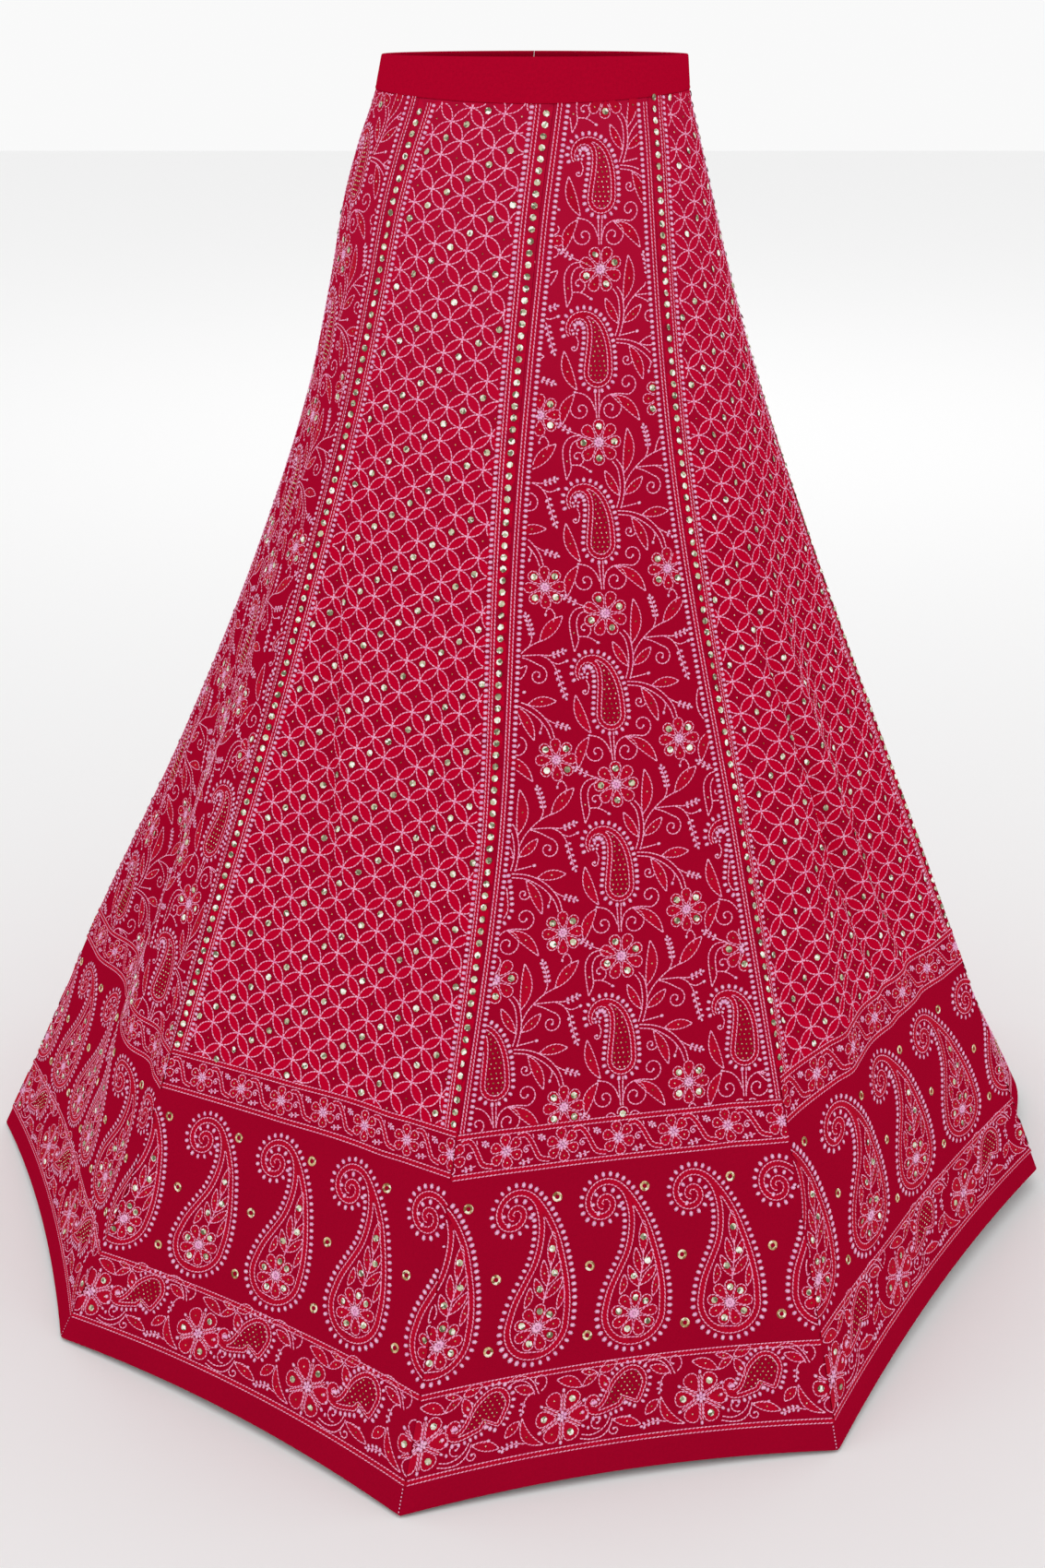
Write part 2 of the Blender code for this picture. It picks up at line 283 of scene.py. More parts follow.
class Drawing:
    """Embroidery drawn flat, in millimetres, as complex numbers."""

    def __init__(self) -> None:
        """An empty drawing."""
        self.lines: list[np.ndarray] = []
        self.knots: list[np.ndarray] = []
        self.sequins: list[np.ndarray] = []
        self.rings: list[np.ndarray] = []
        self.dots: list[np.ndarray] = []
        self.fills: list[np.ndarray] = []

    def kinds(self) -> tuple:
        """The six lists in one fixed order."""
        return self.lines, self.knots, self.sequins, self.rings, self.dots, self.fills

    def add(self, other: "Drawing") -> "Drawing":
        """Takes in all that another drawing holds."""
        for own, new in zip(self.kinds(), other.kinds()):
            own.extend(new)
        return self

    def moved(self, place: complex, turn: float = 0.0, scale: float = 1.0,
              mirror: bool = False) -> "Drawing":
        """A copy turned by an angle in degrees, scaled, mirrored left to right first, and moved."""
        factor = scale * np.exp(1j * math.radians(turn))
        copy = Drawing()
        for own, new in zip(self.kinds(), copy.kinds()):
            new.extend(factor * (-np.conj(item) if mirror else item) + place for item in own)
        return copy

    def line(self, *lines: np.ndarray) -> "Drawing":
        """Lines of running stitch."""
        self.lines.extend(lines)
        return self

    def pair(self, line: np.ndarray, gap: float) -> "Drawing":
        """Two lines of running stitch, the gap apart, with the cloth lifted between them."""
        return self.lifted(beside(line, gap / 2), beside(line, -gap / 2))

    def lifted(self, one: np.ndarray, other: np.ndarray) -> "Drawing":
        """Two lines of running stitch of as many points, with the cloth lifted between them."""
        self.fills.append(ribbon(one, other))
        return self.line(one, other)

    def knot(self, place: np.ndarray, along: np.ndarray, length: float = 3.6) -> "Drawing":
        """Long knots at the places, lying along unit directions."""
        place, along = np.atleast_1d(place), np.atleast_1d(along)
        along = along / np.maximum(np.abs(along), 1e-9) * length / 2
        self.knots.append(np.stack([place - along, place + along], axis=-1))
        return self

    def knots_beside(self, line: np.ndarray, gap: float, pitch: float, length: float = 3.6) -> "Drawing":
        """A row of knots square to a line, at the gap to its left."""
        at = np.concatenate([[0.0], np.cumsum(np.abs(np.diff(line)))])
        count = max(int(round(at[-1] / pitch)), 1)
        wanted = (np.arange(count) + 0.5) * at[-1] / count
        along = (np.interp(wanted, at, np.gradient(line).real)
                 + 1j * np.interp(wanted, at, np.gradient(line).imag))
        place = np.interp(wanted, at, line.real) + 1j * np.interp(wanted, at, line.imag)
        side = 1j * along / np.maximum(np.abs(along), 1e-9)
        return self.knot(place + side * gap, side, length)

    def sequin(self, *places: complex) -> "Drawing":
        """Sequins at the places."""
        self.sequins.append(np.array(places, dtype=complex))
        return self

    def dot(self, *places: complex) -> "Drawing":
        """Tiny metal dots at the places."""
        self.dots.append(np.array(places, dtype=complex))
        return self

    def leaf(self, base: complex, tip: complex, width: float, bend: float = 0.0,
             dotted: bool = True) -> "Drawing":
        """A leaf of two bowed lines, with a dot in it."""
        left, right = bow(base, tip, bend + width / 2), bow(base, tip, bend - width / 2)
        self.line(left, right)
        self.fills.append(np.concatenate([right[2:20:3], left[17:0:-3]])[None])
        if dotted:
            self.dot((base + tip) / 2 + 1j * (tip - base) / abs(tip - base) * bend)
        return self

    def curl(self, start: complex, centre: complex, turns: float, inner: float = 0.25) -> "Drawing":
        """A line that winds in from its start round a centre, positive turns to the left, to a knot."""
        part = np.linspace(0.0, 1.0, int(16 * abs(turns)) + 8)
        line = centre + (start - centre) * (1 - (1 - inner) * part) * np.exp(2j * math.pi * turns * part)
        return self.line(line).knot(line[-1], line[-1] - line[-2], 2.4)

    def sprig(self, points: list[complex], pairs: int, size: float = 3.0, bare: float = 0.3) -> "Drawing":
        """A stem with knots in pairs along it past its bare share, and one at its tip."""
        line = smooth(points)
        at = (bare + (1 - bare) * (np.arange(pairs) + 0.5) / pairs) * (len(line) - 1)
        near = (np.interp(at, np.arange(len(line)), line.real)
                + 1j * np.interp(at, np.arange(len(line)), line.imag))
        along = line[-1] - line[0]
        along = along / abs(along)
        for side in (1, -1):
            lean = along * np.exp(1j * side * math.radians(52))
            self.knot(near + lean * size * 0.62, np.full(pairs, lean), size)
        return self.line(line).knot(line[-1] + along * size * 0.5, along, size)

    def flower(self, centre: complex, radius: float, petals: int, turn: float = 90.0, plump: float = 0.69,
               sequins: bool = True, star: float = 0.22, first: int = 0) -> "Drawing":
        """Teardrop petals round a star of knots, a sequin in every other petal and a dot in the rest.

        Each petal goes out and back as 1 - cos of an angle, and is as wide as its sine, narrowed inwards.

        Args:
            centre: of the flower.
            radius: to the petals' ends.
            petals: how many.
            turn: degrees of the first petal.
            plump: width of a petal as a share of its room.
            sequins: whether every other petal holds a sequin.
            star: length of the star's knots as a share of the radius.
            first: number of the first petal with a sequin.

        Returns:
            The drawing itself.
        """
        angle = np.linspace(0.0, 2.0 * math.pi, 25)
        out = (1.0 - np.cos(angle)) / 2.0
        width = 2.0 * math.sin(math.pi / petals) * radius * plump
        shape = radius * (0.24 + 0.76 * out) + 0.5j * width * np.sin(angle) * (0.35 + 0.95 * out)
        for number in range(petals):
            way = np.exp(1j * math.radians(turn + 360.0 * number / petals))
            self.line(centre + shape * way)
            self.fills.append((centre + shape[:-1:2] * way)[None])
            spot = centre + 0.70 * radius * way
            if sequins and number % 2 == first:
                self.sequin(spot)
            else:
                self.dot(spot)
        ways = np.exp(1j * (math.radians(turn) + 2.0 * math.pi * (np.arange(petals) + 0.5) / petals))
        self.knot(centre, ways[0], radius * star * 0.8)
        return self.knot(centre + ways * radius * star * 0.68, ways, radius * star)


class Tube:
    """A drop whose width changes along a middle line, from a table of places, headings and widths."""

    def __init__(self, table: tuple, rim: float, notch: float = 0.0, step: float = 0.5) -> None:
        """Works out the middle line and the two outlines.

        Below the table's start lies a half oval with the first half width. The middle line adds up small
        steps along its heading.

        Args:
            table: rows of along, heading in degrees and half width.
            rim: between the outer and the inner outline.
            notch: how far a point stands out on the left side near the start, and a dent after it in.
            step: between the points, in millimetres.
        """
        self.notch = notch
        along, heading, half = np.array(table, dtype=float).T
        foot = half[0] * 1.05
        self.along = np.concatenate([-foot * np.cos(np.linspace(0.0, math.pi / 2, 15)),
                                     np.arange(step, along[-1] + step / 2, step)])
        turn = np.radians(through(along, heading, np.maximum(self.along, 0.0)))
        self.way = np.exp(1j * turn)
        steps = np.diff(self.along, prepend=self.along[0])
        self.middle = np.cumsum(self.way * steps)
        self.middle -= self.middle[14]
        self.half = np.where(self.along < 0.0,
                             half[0] * np.sqrt(np.maximum(1.0 - (self.along / foot) ** 2, 0.0)),
                             through(along, half, np.maximum(self.along, 0.0)))
        self.outer = self.outline(self.half, slice(None))
        neck = int(np.argmax((self.half < rim + 0.4) & (self.along > 0.0)))
        inner_half = self.half - rim
        low = self.along < 0.0
        toward_foot = self.along[low] / (foot - rim)
        inner_half[low] = (half[0] - rim) * np.sqrt(np.maximum(1.0 - toward_foot ** 2, 0.0))
        first = int(np.argmax(self.along >= -(foot - rim)))
        self.inner = self.outline(np.maximum(inner_half, 0.0), slice(first, neck))
        self.room, self.neck = inner_half, neck

    def outline(self, half: np.ndarray, part: slice) -> np.ndarray:
        """From the tip down the left side, round the foot and up the right side."""
        cut = np.interp(self.along, (-5.0, 4.0, 10.0, 16.0), (0.0, self.notch, -self.notch, 0.0))
        left = self.middle + 1j * self.way * (half + cut)
        return np.concatenate([left[part][::-1], (self.middle - 1j * self.way * half)[part]])

    def drawing(self, pitch: float, gap: float, bare: float, length: float = 3.6) -> Drawing:
        """Both outlines, and knots round the outer one except on the left side past the bare length."""
        skipped = int(np.count_nonzero(self.along > bare))
        edge = self.outer[skipped:]
        part = Drawing().line(self.outer, self.inner).knots_beside(edge, -gap, pitch, length)
        core = self.outline(np.maximum(self.room, 0.0), slice(None))
        count = len(self.middle)
        part.fills.extend([ribbon(self.outer[:count], core[:count]),
                           ribbon(self.outer[count:], core[count:])])
        return part

    def seeds(self, spacing: float, edge: float = 1.8) -> np.ndarray:
        """Places in staggered rows inside the inner outline."""
        found = []
        seed_rows = np.arange(-self.half[14] + spacing * 1.1, self.along[self.neck], spacing)
        for number, row in enumerate(seed_rows):
            index = int(np.searchsorted(self.along, row))
            room = self.room[index] - edge
            if room < 0.0:
                continue
            count = int(2.0 * room / spacing) + 1
            places = (np.arange(count) - (count - 1) / 2.0) * spacing + (number % 2 - 0.5) * spacing * 0.3
            found.extend(self.middle[index] + 1j * self.way[index] * np.clip(places, -room, room))
        return np.array(found)


@dataclass
class Floral:
    """The floral body: columns of paisley and flower, on a repeat up the slant."""

    repeat: float = 129.6
    columns: float = 97.0
    column_rise: float = 3.0
    sag: float = 0.0006
    start: float = 510.0
    drop: tuple = (
        # along, heading, half width
        (0, 88, 10.9),
        (11, 89, 10.1),
        (22, 96, 8.6),
        (33, 110, 6.4),
        (42, 138, 4.2),
        (50, 180, 2.5),
        (57, 222, 1.8),
        (64, 262, 1.3),
        (71, 300, 0.8),
    )

    def paisley(self) -> Drawing:
        """The hooked paisley, its foot's centre at 0, with seeds, a knot cluster and a curl."""
        tube = Tube(self.drop, 3.1)
        part = tube.drawing(4.2, 3.1, 62.0, 4.0).dot(*tube.seeds(3.7))
        ways = np.exp(1j * np.radians(20 + 72 * np.arange(5)))
        part.knot(-18.4 + 31j + ways * 2.3, ways, 2.8)
        part.line(smooth([-17.6 + 27.5j, -15.6 + 22.5j, -17 + 17j]))
        return part.curl(-17 + 17j, -19.3 + 18.7j, -0.8, 0.2)

    def motif(self, turn: float) -> Drawing:
        """One repeat with the centre of its flower at 0, the flower turned by an angle."""
        part = self.paisley().moved(-0.5 + 53j)
        part.flower(0, 17.2, 8, turn)
        self.above(part)
        self.left(part)
        self.right(part)
        self.lower(part)
        return part

    def above(self, part: Drawing) -> None:
        """Stem, leaves and curls between the paisley's foot and the flower."""
        part.line(smooth([-3 + 40.2j, -2.4 + 30.0j, -1.6 + 18.1j]),
                  smooth([0.4 + 40.2j, 0.2 + 29.5j, 0.2 + 18.1j]))
        part.line(smooth([-18.5 + 38.3j, -11.4 + 36.4j, -6 + 31.5j, -2.6 + 23.9j]))
        part.knot(-18.5 + 38.3j, 1, 2.6)
        part.leaf(-17 + 39.9j, -27 + 69.5j, 7.4, 2.5)
        part.leaf(-18.8 + 37.1j, -28.5 + 14.1j, 7.4, -2.6)
        part.curl(-22 + 25.9j, -14 + 25.1j, 1.15, 0.15)
        part.line(smooth([0.3 + 23.4j, 3 + 31.7j, 8 + 35.3j, 13 + 36.0j, 24 + 35.0j]))
        part.leaf(10 + 35.2j, 33 + 14.8j, 7.4, 3.0)
        part.curl(9 + 35.3j, 9.5 + 25.0j, -1.35, 0.15)
        part.curl(24 + 35.0j, 22.8 + 43.4j, 1.15, 0.2)

    def left(self, part: Drawing) -> None:
        """Sprig, long leaf, branch and curl left of the flower."""
        part.sprig([-14 + 5.7j, -21 + 8.4j, -31 + 14.5j], 3, 3.0, 0.35)
        part.line(smooth([-7 + 1.9j, -16 + 5.7j, -23 + 4.1j, -27.4 - 1.9j,
                          -28 - 9.9j, -27.2 - 17.2j, -25.6 - 27.7j]))
        part.line(smooth([-14 + 2.7j, -19.5 + 1.0j, -22.4 - 4.7j, -22.4 - 11.8j,
                          -21.8 - 19.1j, -25.6 - 27.7j]))
        part.dot(-25 - 13.5j)
        part.line(smooth([-21.8 - 16.5j, -16 - 16.7j, -11.5 - 18.6j, -8.5 - 20.7j]))
        part.knot(-7 - 21.7j, 1 - 0.4j, 3.4)
        part.curl(-15.5 - 17.0j, -17 - 10.8j, 0.95, 0.15)

    def right(self, part: Drawing) -> None:
        """The stem that comes up from the lower paisley, and its branches to the right."""
        part.line(smooth([13.3 - 13.1j, 17.2 - 18.0j, 19.3 - 26.5j,
                          19.8 - 32.6j, 18.8 - 41.7j, 16.2 - 51.0j]))
        part.line(smooth([10.2 - 14.6j, 14 - 20.0j, 15.8 - 27.9j,
                          16.2 - 34.1j, 15.2 - 43.2j, 12.8 - 50.4j]))
        part.leaf(15.4 - 41.1j, 4.3 - 21.5j, 6.0, 0.6)
        part.leaf(19.5 - 40.4j, 34.5 - 27.8j, 6.4, -0.8)
        part.leaf(19 - 24.4j, 22.5 + 9.8j, 8.2, -3.0)
        part.line(smooth([19.8 - 33.2j, 24.5 - 25.2j, 30 - 19.4j, 37 - 13.9j, 46 - 9.7j]))
        part.leaf(45.5 - 10.1j, 64 + 8.4j, 8.6, 0.6)
        part.sprig([37 - 13.9j, 39.5 - 8.2j, 38.8 + 0.1j, 36 + 9.7j], 5, 3.0, 0.3)
        part.line(smooth([28.5 - 20.5j, 37 - 20.2j, 45 - 20.2j]))
        part.sprig([45 - 20.2j, 53 - 20.9j, 63 - 17.9j], 3, 3.0, 0.4)
        part.sprig([45 - 20.2j, 51.5 - 23.8j, 55.5 - 29.5j, 58 - 38.6j, 62 - 52.5j], 5, 3.1, 0.4)
        part.line(smooth([53 - 25.6j, 58 - 27.6j, 63.5 - 26.2j])).knot(65 - 25.6j, 1 + 0.4j, 3.4)
        part.line(smooth([28.5 - 20.7j, 36 - 23.5j, 43.5 - 27.7j]))
        part.curl(43.5 - 27.7j, 42.2 - 35.7j, -1.35, 0.15)

    def lower(self, part: Drawing) -> None:
        """The stem from the lower paisley to the side flower, and what grows on it."""
        part.line(smooth([15.5 - 50.1j, 23 - 49.0j, 29 - 47.9j])).knot(31 - 47.6j, 1 + 0.3j, 3.4)
        part.line(smooth([13.5 - 52.5j, 24.5 - 54.1j, 35 - 58.5j, 43.8 - 65.9j,
                          49.4 - 74.5j, 51.6 - 83.0j]))
        part.line(smooth([13.5 - 55.3j, 23.6 - 57.0j, 33 - 61.8j, 41.4 - 69.0j,
                          46.4 - 76.6j, 48.6 - 83.5j]))
        part.leaf(33 - 57.1j, 55 - 55.4j, 7.0, 1.0)
        part.leaf(24.5 - 57.9j, 36 - 84.1j, 7.0, 1.4)
        part.curl(27.4 - 69.5j, 22.6 - 68.2j, -1.1, 0.2)
        part.line(smooth([41.8 - 69.3j, 43 - 73.0j, 41.4 - 76.4j])).knot(41 - 78.4j, 0.2 + 1j, 3.2)
        part.sprig([44.8 - 67.5j, 52 - 71.7j, 62 - 75.5j], 3, 3.0, 0.4)
        part.flower(51.8 - 99.1j, 15.8, 8, 90, first=1)
        part.line(smooth([55.5 - 115.2j, 58.4 - 120.7j, 56.5 - 125.5j]))
        part.line(smooth([55.5 - 115.2j, 52.4 - 116.0j, 51.4 - 118.1j])).knot(51.2 - 119.7j, 1j, 3.0)

    def drawing(self, height: float, phase: float) -> Drawing:
        """All repeats that may reach into a kali's body.

        Args:
            height: how far up the body reaches.
            phase: share of a repeat by which this kali's columns are shifted up.

        Returns:
            The drawing, wider than the kali; the body's edges clip it.
        """
        drawing = Drawing()
        motifs = [self.motif(90.0), self.motif(112.5)]
        for column in (-2, -1, 0, 1, 2):
            for row in range(-4, 5):
                across = self.columns * column
                up = (self.start + self.repeat * (row + phase) + self.column_rise * column
                      - self.sag * across ** 2)
                if 150.0 < up < height + 110.0:
                    drawing.add(motifs[(row + column) % 2].moved(complex(across, up)))
        return drawing


@dataclass
class Lattice:
    """The lattice body: interlocking circles that meet in lens-shaped petals."""

    first: complex = complex(14.1, 10.7)
    second: complex = complex(12.2, -14.9)
    bulge: float = 0.20
    jitter: float = 0.35

    def drawing(self, height: float, stretch: float, phase: float) -> Drawing:
        """Petals between all neighbouring nodes, with sequins and dots in alternate rows of cells.

        Args:
            height: how far up the body reaches.
            stretch: by which the kali widens the pattern later, so that enough nodes are made.
            phase: share of the first step by which the nodes are shifted.

        Returns:
            The drawing, wider than the kali.
        """
        drawing = Drawing()
        random = np.random.default_rng(7)
        span = 46
        counts = np.arange(-span, span + 1)
        i, j = np.meshgrid(counts, counts, indexing="ij")
        shift = random.normal(0.0, self.jitter, (2, *i.shape))
        nodes = complex(0.0, 560.0) + (i + phase) * self.first + j * self.second + shift[0] + 1j * shift[1]
        part = np.linspace(0.0, 1.0, 9)
        hump = 4.0 * part * (1.0 - part)
        near = (nodes.imag > 240.0) & (nodes.imag < height + 30.0) & (np.abs(nodes.real) * stretch < 235.0)
        for there in (np.roll(nodes, -1, 0), np.roll(nodes, -1, 1)):
            here, run = nodes[near], (there - nodes)[near]
            for side in (self.bulge, -self.bulge):
                drawing.lines.extend(here[:, None] + run[:, None] * (part + 1j * side * hump))
        middle = (nodes + np.roll(nodes, -1, 0) + np.roll(nodes, -1, 1) + np.roll(nodes, -1, (0, 1))) / 4.0
        drawing.sequin(*middle[near & (j % 2 == 1)])
        drawing.dot(*middle[near & (j % 2 == 0)])
        return drawing


@dataclass
class Bands:
    """The embroidered bands above the hem, as heights up the slant in millimetres."""

    border_foot: float = 20.5
    border_top: float = 81.5
    narrow_foot: float = 229.5
    narrow_top: float = 261.5
    rail: float = 3.2
    pitches: tuple = (107.0, 71.5, 40.2)
    kairi_drop: tuple = (
        # along, heading, half width
        (0, 84, 21.9),
        (14, 80, 20.6),
        (29, 82, 16.6),
        (44, 89, 11.6),
        (60, 99, 7.6),
        (75, 111, 4.3),
        (88, 126, 2.3),
        (98, 152, 1.9),
        (108, 188, 1.9),
        (118, 230, 1.9),
        (129, 280, 1.9),
        (139, 332, 1.9),
        (149, 394, 1.9),
        (158, 464, 1.9),
        (166, 546, 1.8),
        (173, 640, 1.7),
        (177, 720, 1.5),
    )
    heart_drop: tuple = (
        (0, 214, 12.4),
        (8, 217, 11.6),
        (15, 221, 8.8),
        (21, 218, 6.0),
        (27, 205, 4.0),
        (32, 180, 3.0),
        (37, 138, 2.4),
        (42, 88, 2.0),
        (46, 35, 1.8),
        (50, -25, 1.5),
        (54, -95, 1.2),
    )

    def rails(self, width: float, heights: tuple) -> Drawing:
        """Double lines along a band's edges, the second towards the band's inside."""
        drawing = Drawing()
        half = width / 2 + 2
        for height, side in zip(heights, (1, -1)):
            edge = np.linspace(complex(-half, height), complex(half, height), 60)
            drawing.lifted(edge, edge + 1j * self.rail * side)
        return drawing

    def kairi(self) -> Drawing:
        """A tall paisley whose tail winds into a spiral, a flower and leaves in its drop."""
        part = Tube(self.kairi_drop, 3.7).drawing(4.7, 3.5, 84.0, 4.1)
        part.flower(0.5 - 1.5j, 16.0, 9, 85, 0.72)
        part.line(smooth([3.5 + 14.5j, 5.2 + 24j, 7 + 34j, 7.4 + 44j]))
        for base, tip, width, bend, sequin in (
            (4 + 17j, -3.5 + 33j, 5.6, 0.6, True), (4.5 + 18j, 16.5 + 31.5j, 5.6, -0.6, False),
            (5.6 + 26j, 2 + 45j, 5.2, 0.8, False), (6 + 27j, 14.5 + 43j, 5.0, -0.6, True),
            (7.2 + 40j, 8 + 64j, 6.2, 0.0, True), (-9.5 + 13j, -6.5 + 27j, 5.0, -1.2, False),
            (13.5 + 9j, 17 + 25j, 4.6, -0.6, False),
        ):
            part.leaf(base, tip, width, bend, not sequin)
            if sequin:
                part.sequin((base + tip) / 2)
        return part

    def paisley_band(self, width: float, count: int) -> Drawing:
        """Kairis in a row, one over the seam, and three ring sequins between each two."""
        drawing = Drawing()
        pitch = width / count
        kairi = self.kairi().moved(0, 0, 1.05)
        for number in range(-1, count + 2):
            place = complex(-width / 2 + (number + 0.10) * pitch, 115.5)
            drawing.add(kairi.moved(place))
            drawing.rings.append(place + np.array([10 + 92j, 0.53 * pitch + 38j, 0.53 * pitch - 13j]))
        return drawing

    def vine(self, width: float, count: int) -> Drawing:
        """The narrow band: small flowers, S-shaped double stems, curls and knots."""
        drawing = Drawing()
        middle = (self.narrow_foot + self.narrow_top) / 2
        pitch = width / count
        part = Drawing().flower(0, 12.2, 6, 100, 0.66, False, 0.30)
        part.pair(smooth([7.5 + 9.5j, 13 + 10.6j, 17.5 + 6j, 21.5 - 1j, 25.5 - 7.5j, 33 - 9.5j]), 3.0)
        part.curl(17.6 + 2j, 15.2 - 0.4j, 1.2, 0.2)
        part.sprig([20.5 - 7.5j, 17 - 8.4j, 12.5 - 9.4j], 2, 2.6, 0.1)
        part.sprig([22.5 + 9.5j, 24.6 + 7.6j, 27 + 6.4j], 2, 2.6, 0.1)
        part.line(np.array([19 + 10.5j, 19.6 + 7.4j]))
        for number in range(-1, count + 1):
            drawing.add(part.moved(complex(-width / 2 + (number - 0.08) * pitch, middle), 0, pitch / 42))
        return drawing

    def heart(self) -> Drawing:
        """A round seeded paisley with a notched foot and a tail that curls up to its left."""
        tube = Tube(self.heart_drop, 2.9, 4.5)
        return tube.drawing(4.1, 3.0, 40.0, 3.8).dot(*tube.seeds(3.7))

    def border_unit(self) -> Drawing:
        """One repeat of the lower border, with its flower's centre at 0."""
        part = Drawing().flower(0, 20.0, 6, 60, 0.62, True, 0.2)
        ways = np.exp(1j * np.radians(30 + 60 * np.arange(6)))
        for way in ways:
            part.pair(np.linspace(4 * way, 17 * way, 9), 1.5)
        part.knot(ways * 19, ways, 3.6)
        part.add(self.heart().moved(52 + 17.5j))
        part.leaf(14.5 + 19.5j, -6 + 27.5j, 7.6, -1.5)
        part.leaf(14.5 + 19.5j, 27 + 28j, 5.4, 0.5)
        part.leaf(27.5 + 28.5j, 42 + 34j, 7.6, 0.5)
        part.leaf(28 + 27j, 34.5 + 12.5j, 7.6, 0.5)
        part.leaf(26 + 28j, 13 + 31j, 4.2, 0.0)
        part.line(smooth([15.5 - 15.6j, 23 - 17j, 30 - 14.8j, 34.6 - 10.6j, 36.9 - 5.5j]))
        part.line(smooth([14.5 - 18.5j, 23 - 20.2j, 31.5 - 19j, 36.8 - 13.6j, 39 - 7j]))
        part.curl(29.6 - 13j, 27 - 7.8j, -1.05, 0.2)
        part.knot(20.5 - 11.5j, 1j, 3.2)
        part.leaf(39.3 - 8.5j, 60.5 - 14.5j, 6.8, 0.6)
        part.line(smooth([39.5 - 8j, 45 - 7.4j, 50 - 8.2j])).knot(51.6 - 7.4j, 1 + 0.4j, 3.2)
        part.curl(38.4 - 11j, 40.6 - 15.6j, 1.05, 0.2)
        part.sprig([80 - 15j, 71 - 13.6j, 62.5 - 16.5j], 4, 3.0, 0.2)
        part.leaf(76 + 4j, 94 - 18j, 6.4, -5.5)
        part.leaf(64 - 8j, 74.5 + 2j, 7.0, 0.6)
        part.sprig([84 + 21.5j, 78.5 + 19j, 76 + 13.5j, 75.5 + 8j], 2, 2.8, 0.5)
        part.leaf(84 + 21.5j, 67.5 + 27.5j, 6.6, 0.0)
        part.line(smooth([61.6 + 32j, 67.4 + 34.8j, 75.2 + 34.3j, 82 + 29.5j, 87.5 + 19.5j]))
        part.line(smooth([63.2 + 29.2j, 68.4 + 31.8j, 75.4 + 30.8j, 81 + 26.2j, 84.2 + 19.5j]))
        return part.curl(89 + 21.5j, 86.6 + 28.8j, 0.9, 0.2)

    def border(self, width: float, count: int) -> Drawing:
        """The lower border: large flowers, one on each seam, and heart-shaped paisleys between them."""
        drawing = Drawing()
        pitch = width / count
        part = self.border_unit().moved(0, 0, pitch / 107.0)
        for number in range(-1, count + 1):
            drawing.add(part.moved(complex(-width / 2 + (number + 0.07) * pitch, 46.0)))
        return drawing


@dataclass
class Edging:
    """The strips beside a seam, in millimetres from it at the hem end; they widen by a share upwards."""

    machine: float = 1.5
    sequins: float = 4.0
    sequin_pitch: float = 8.7
    lattice_rail: float = 8.4
    lattice_knots: float = 13.2
    floral_rail: float = 2.4
    floral_knots: float = 8.6
    rail_gap: float = 2.2
    widen: float = 0.25

    def inner(self, style: Style) -> float:
        """Where the body's pattern stops."""
        return (self.lattice_knots if style is Style.LATTICE else self.floral_knots) + 2.2

    def widening(self, up: np.ndarray) -> np.ndarray:
        """How much wider the strips are at a height than above the bands."""
        return 1.0 + self.widen * (up - 267.0) / 750.0


@dataclass
class Layer:
    """A drawing, its zone, and for a band the height whose width it keeps."""

    drawing: Drawing
    zone: Zone
    level: float = 0.0


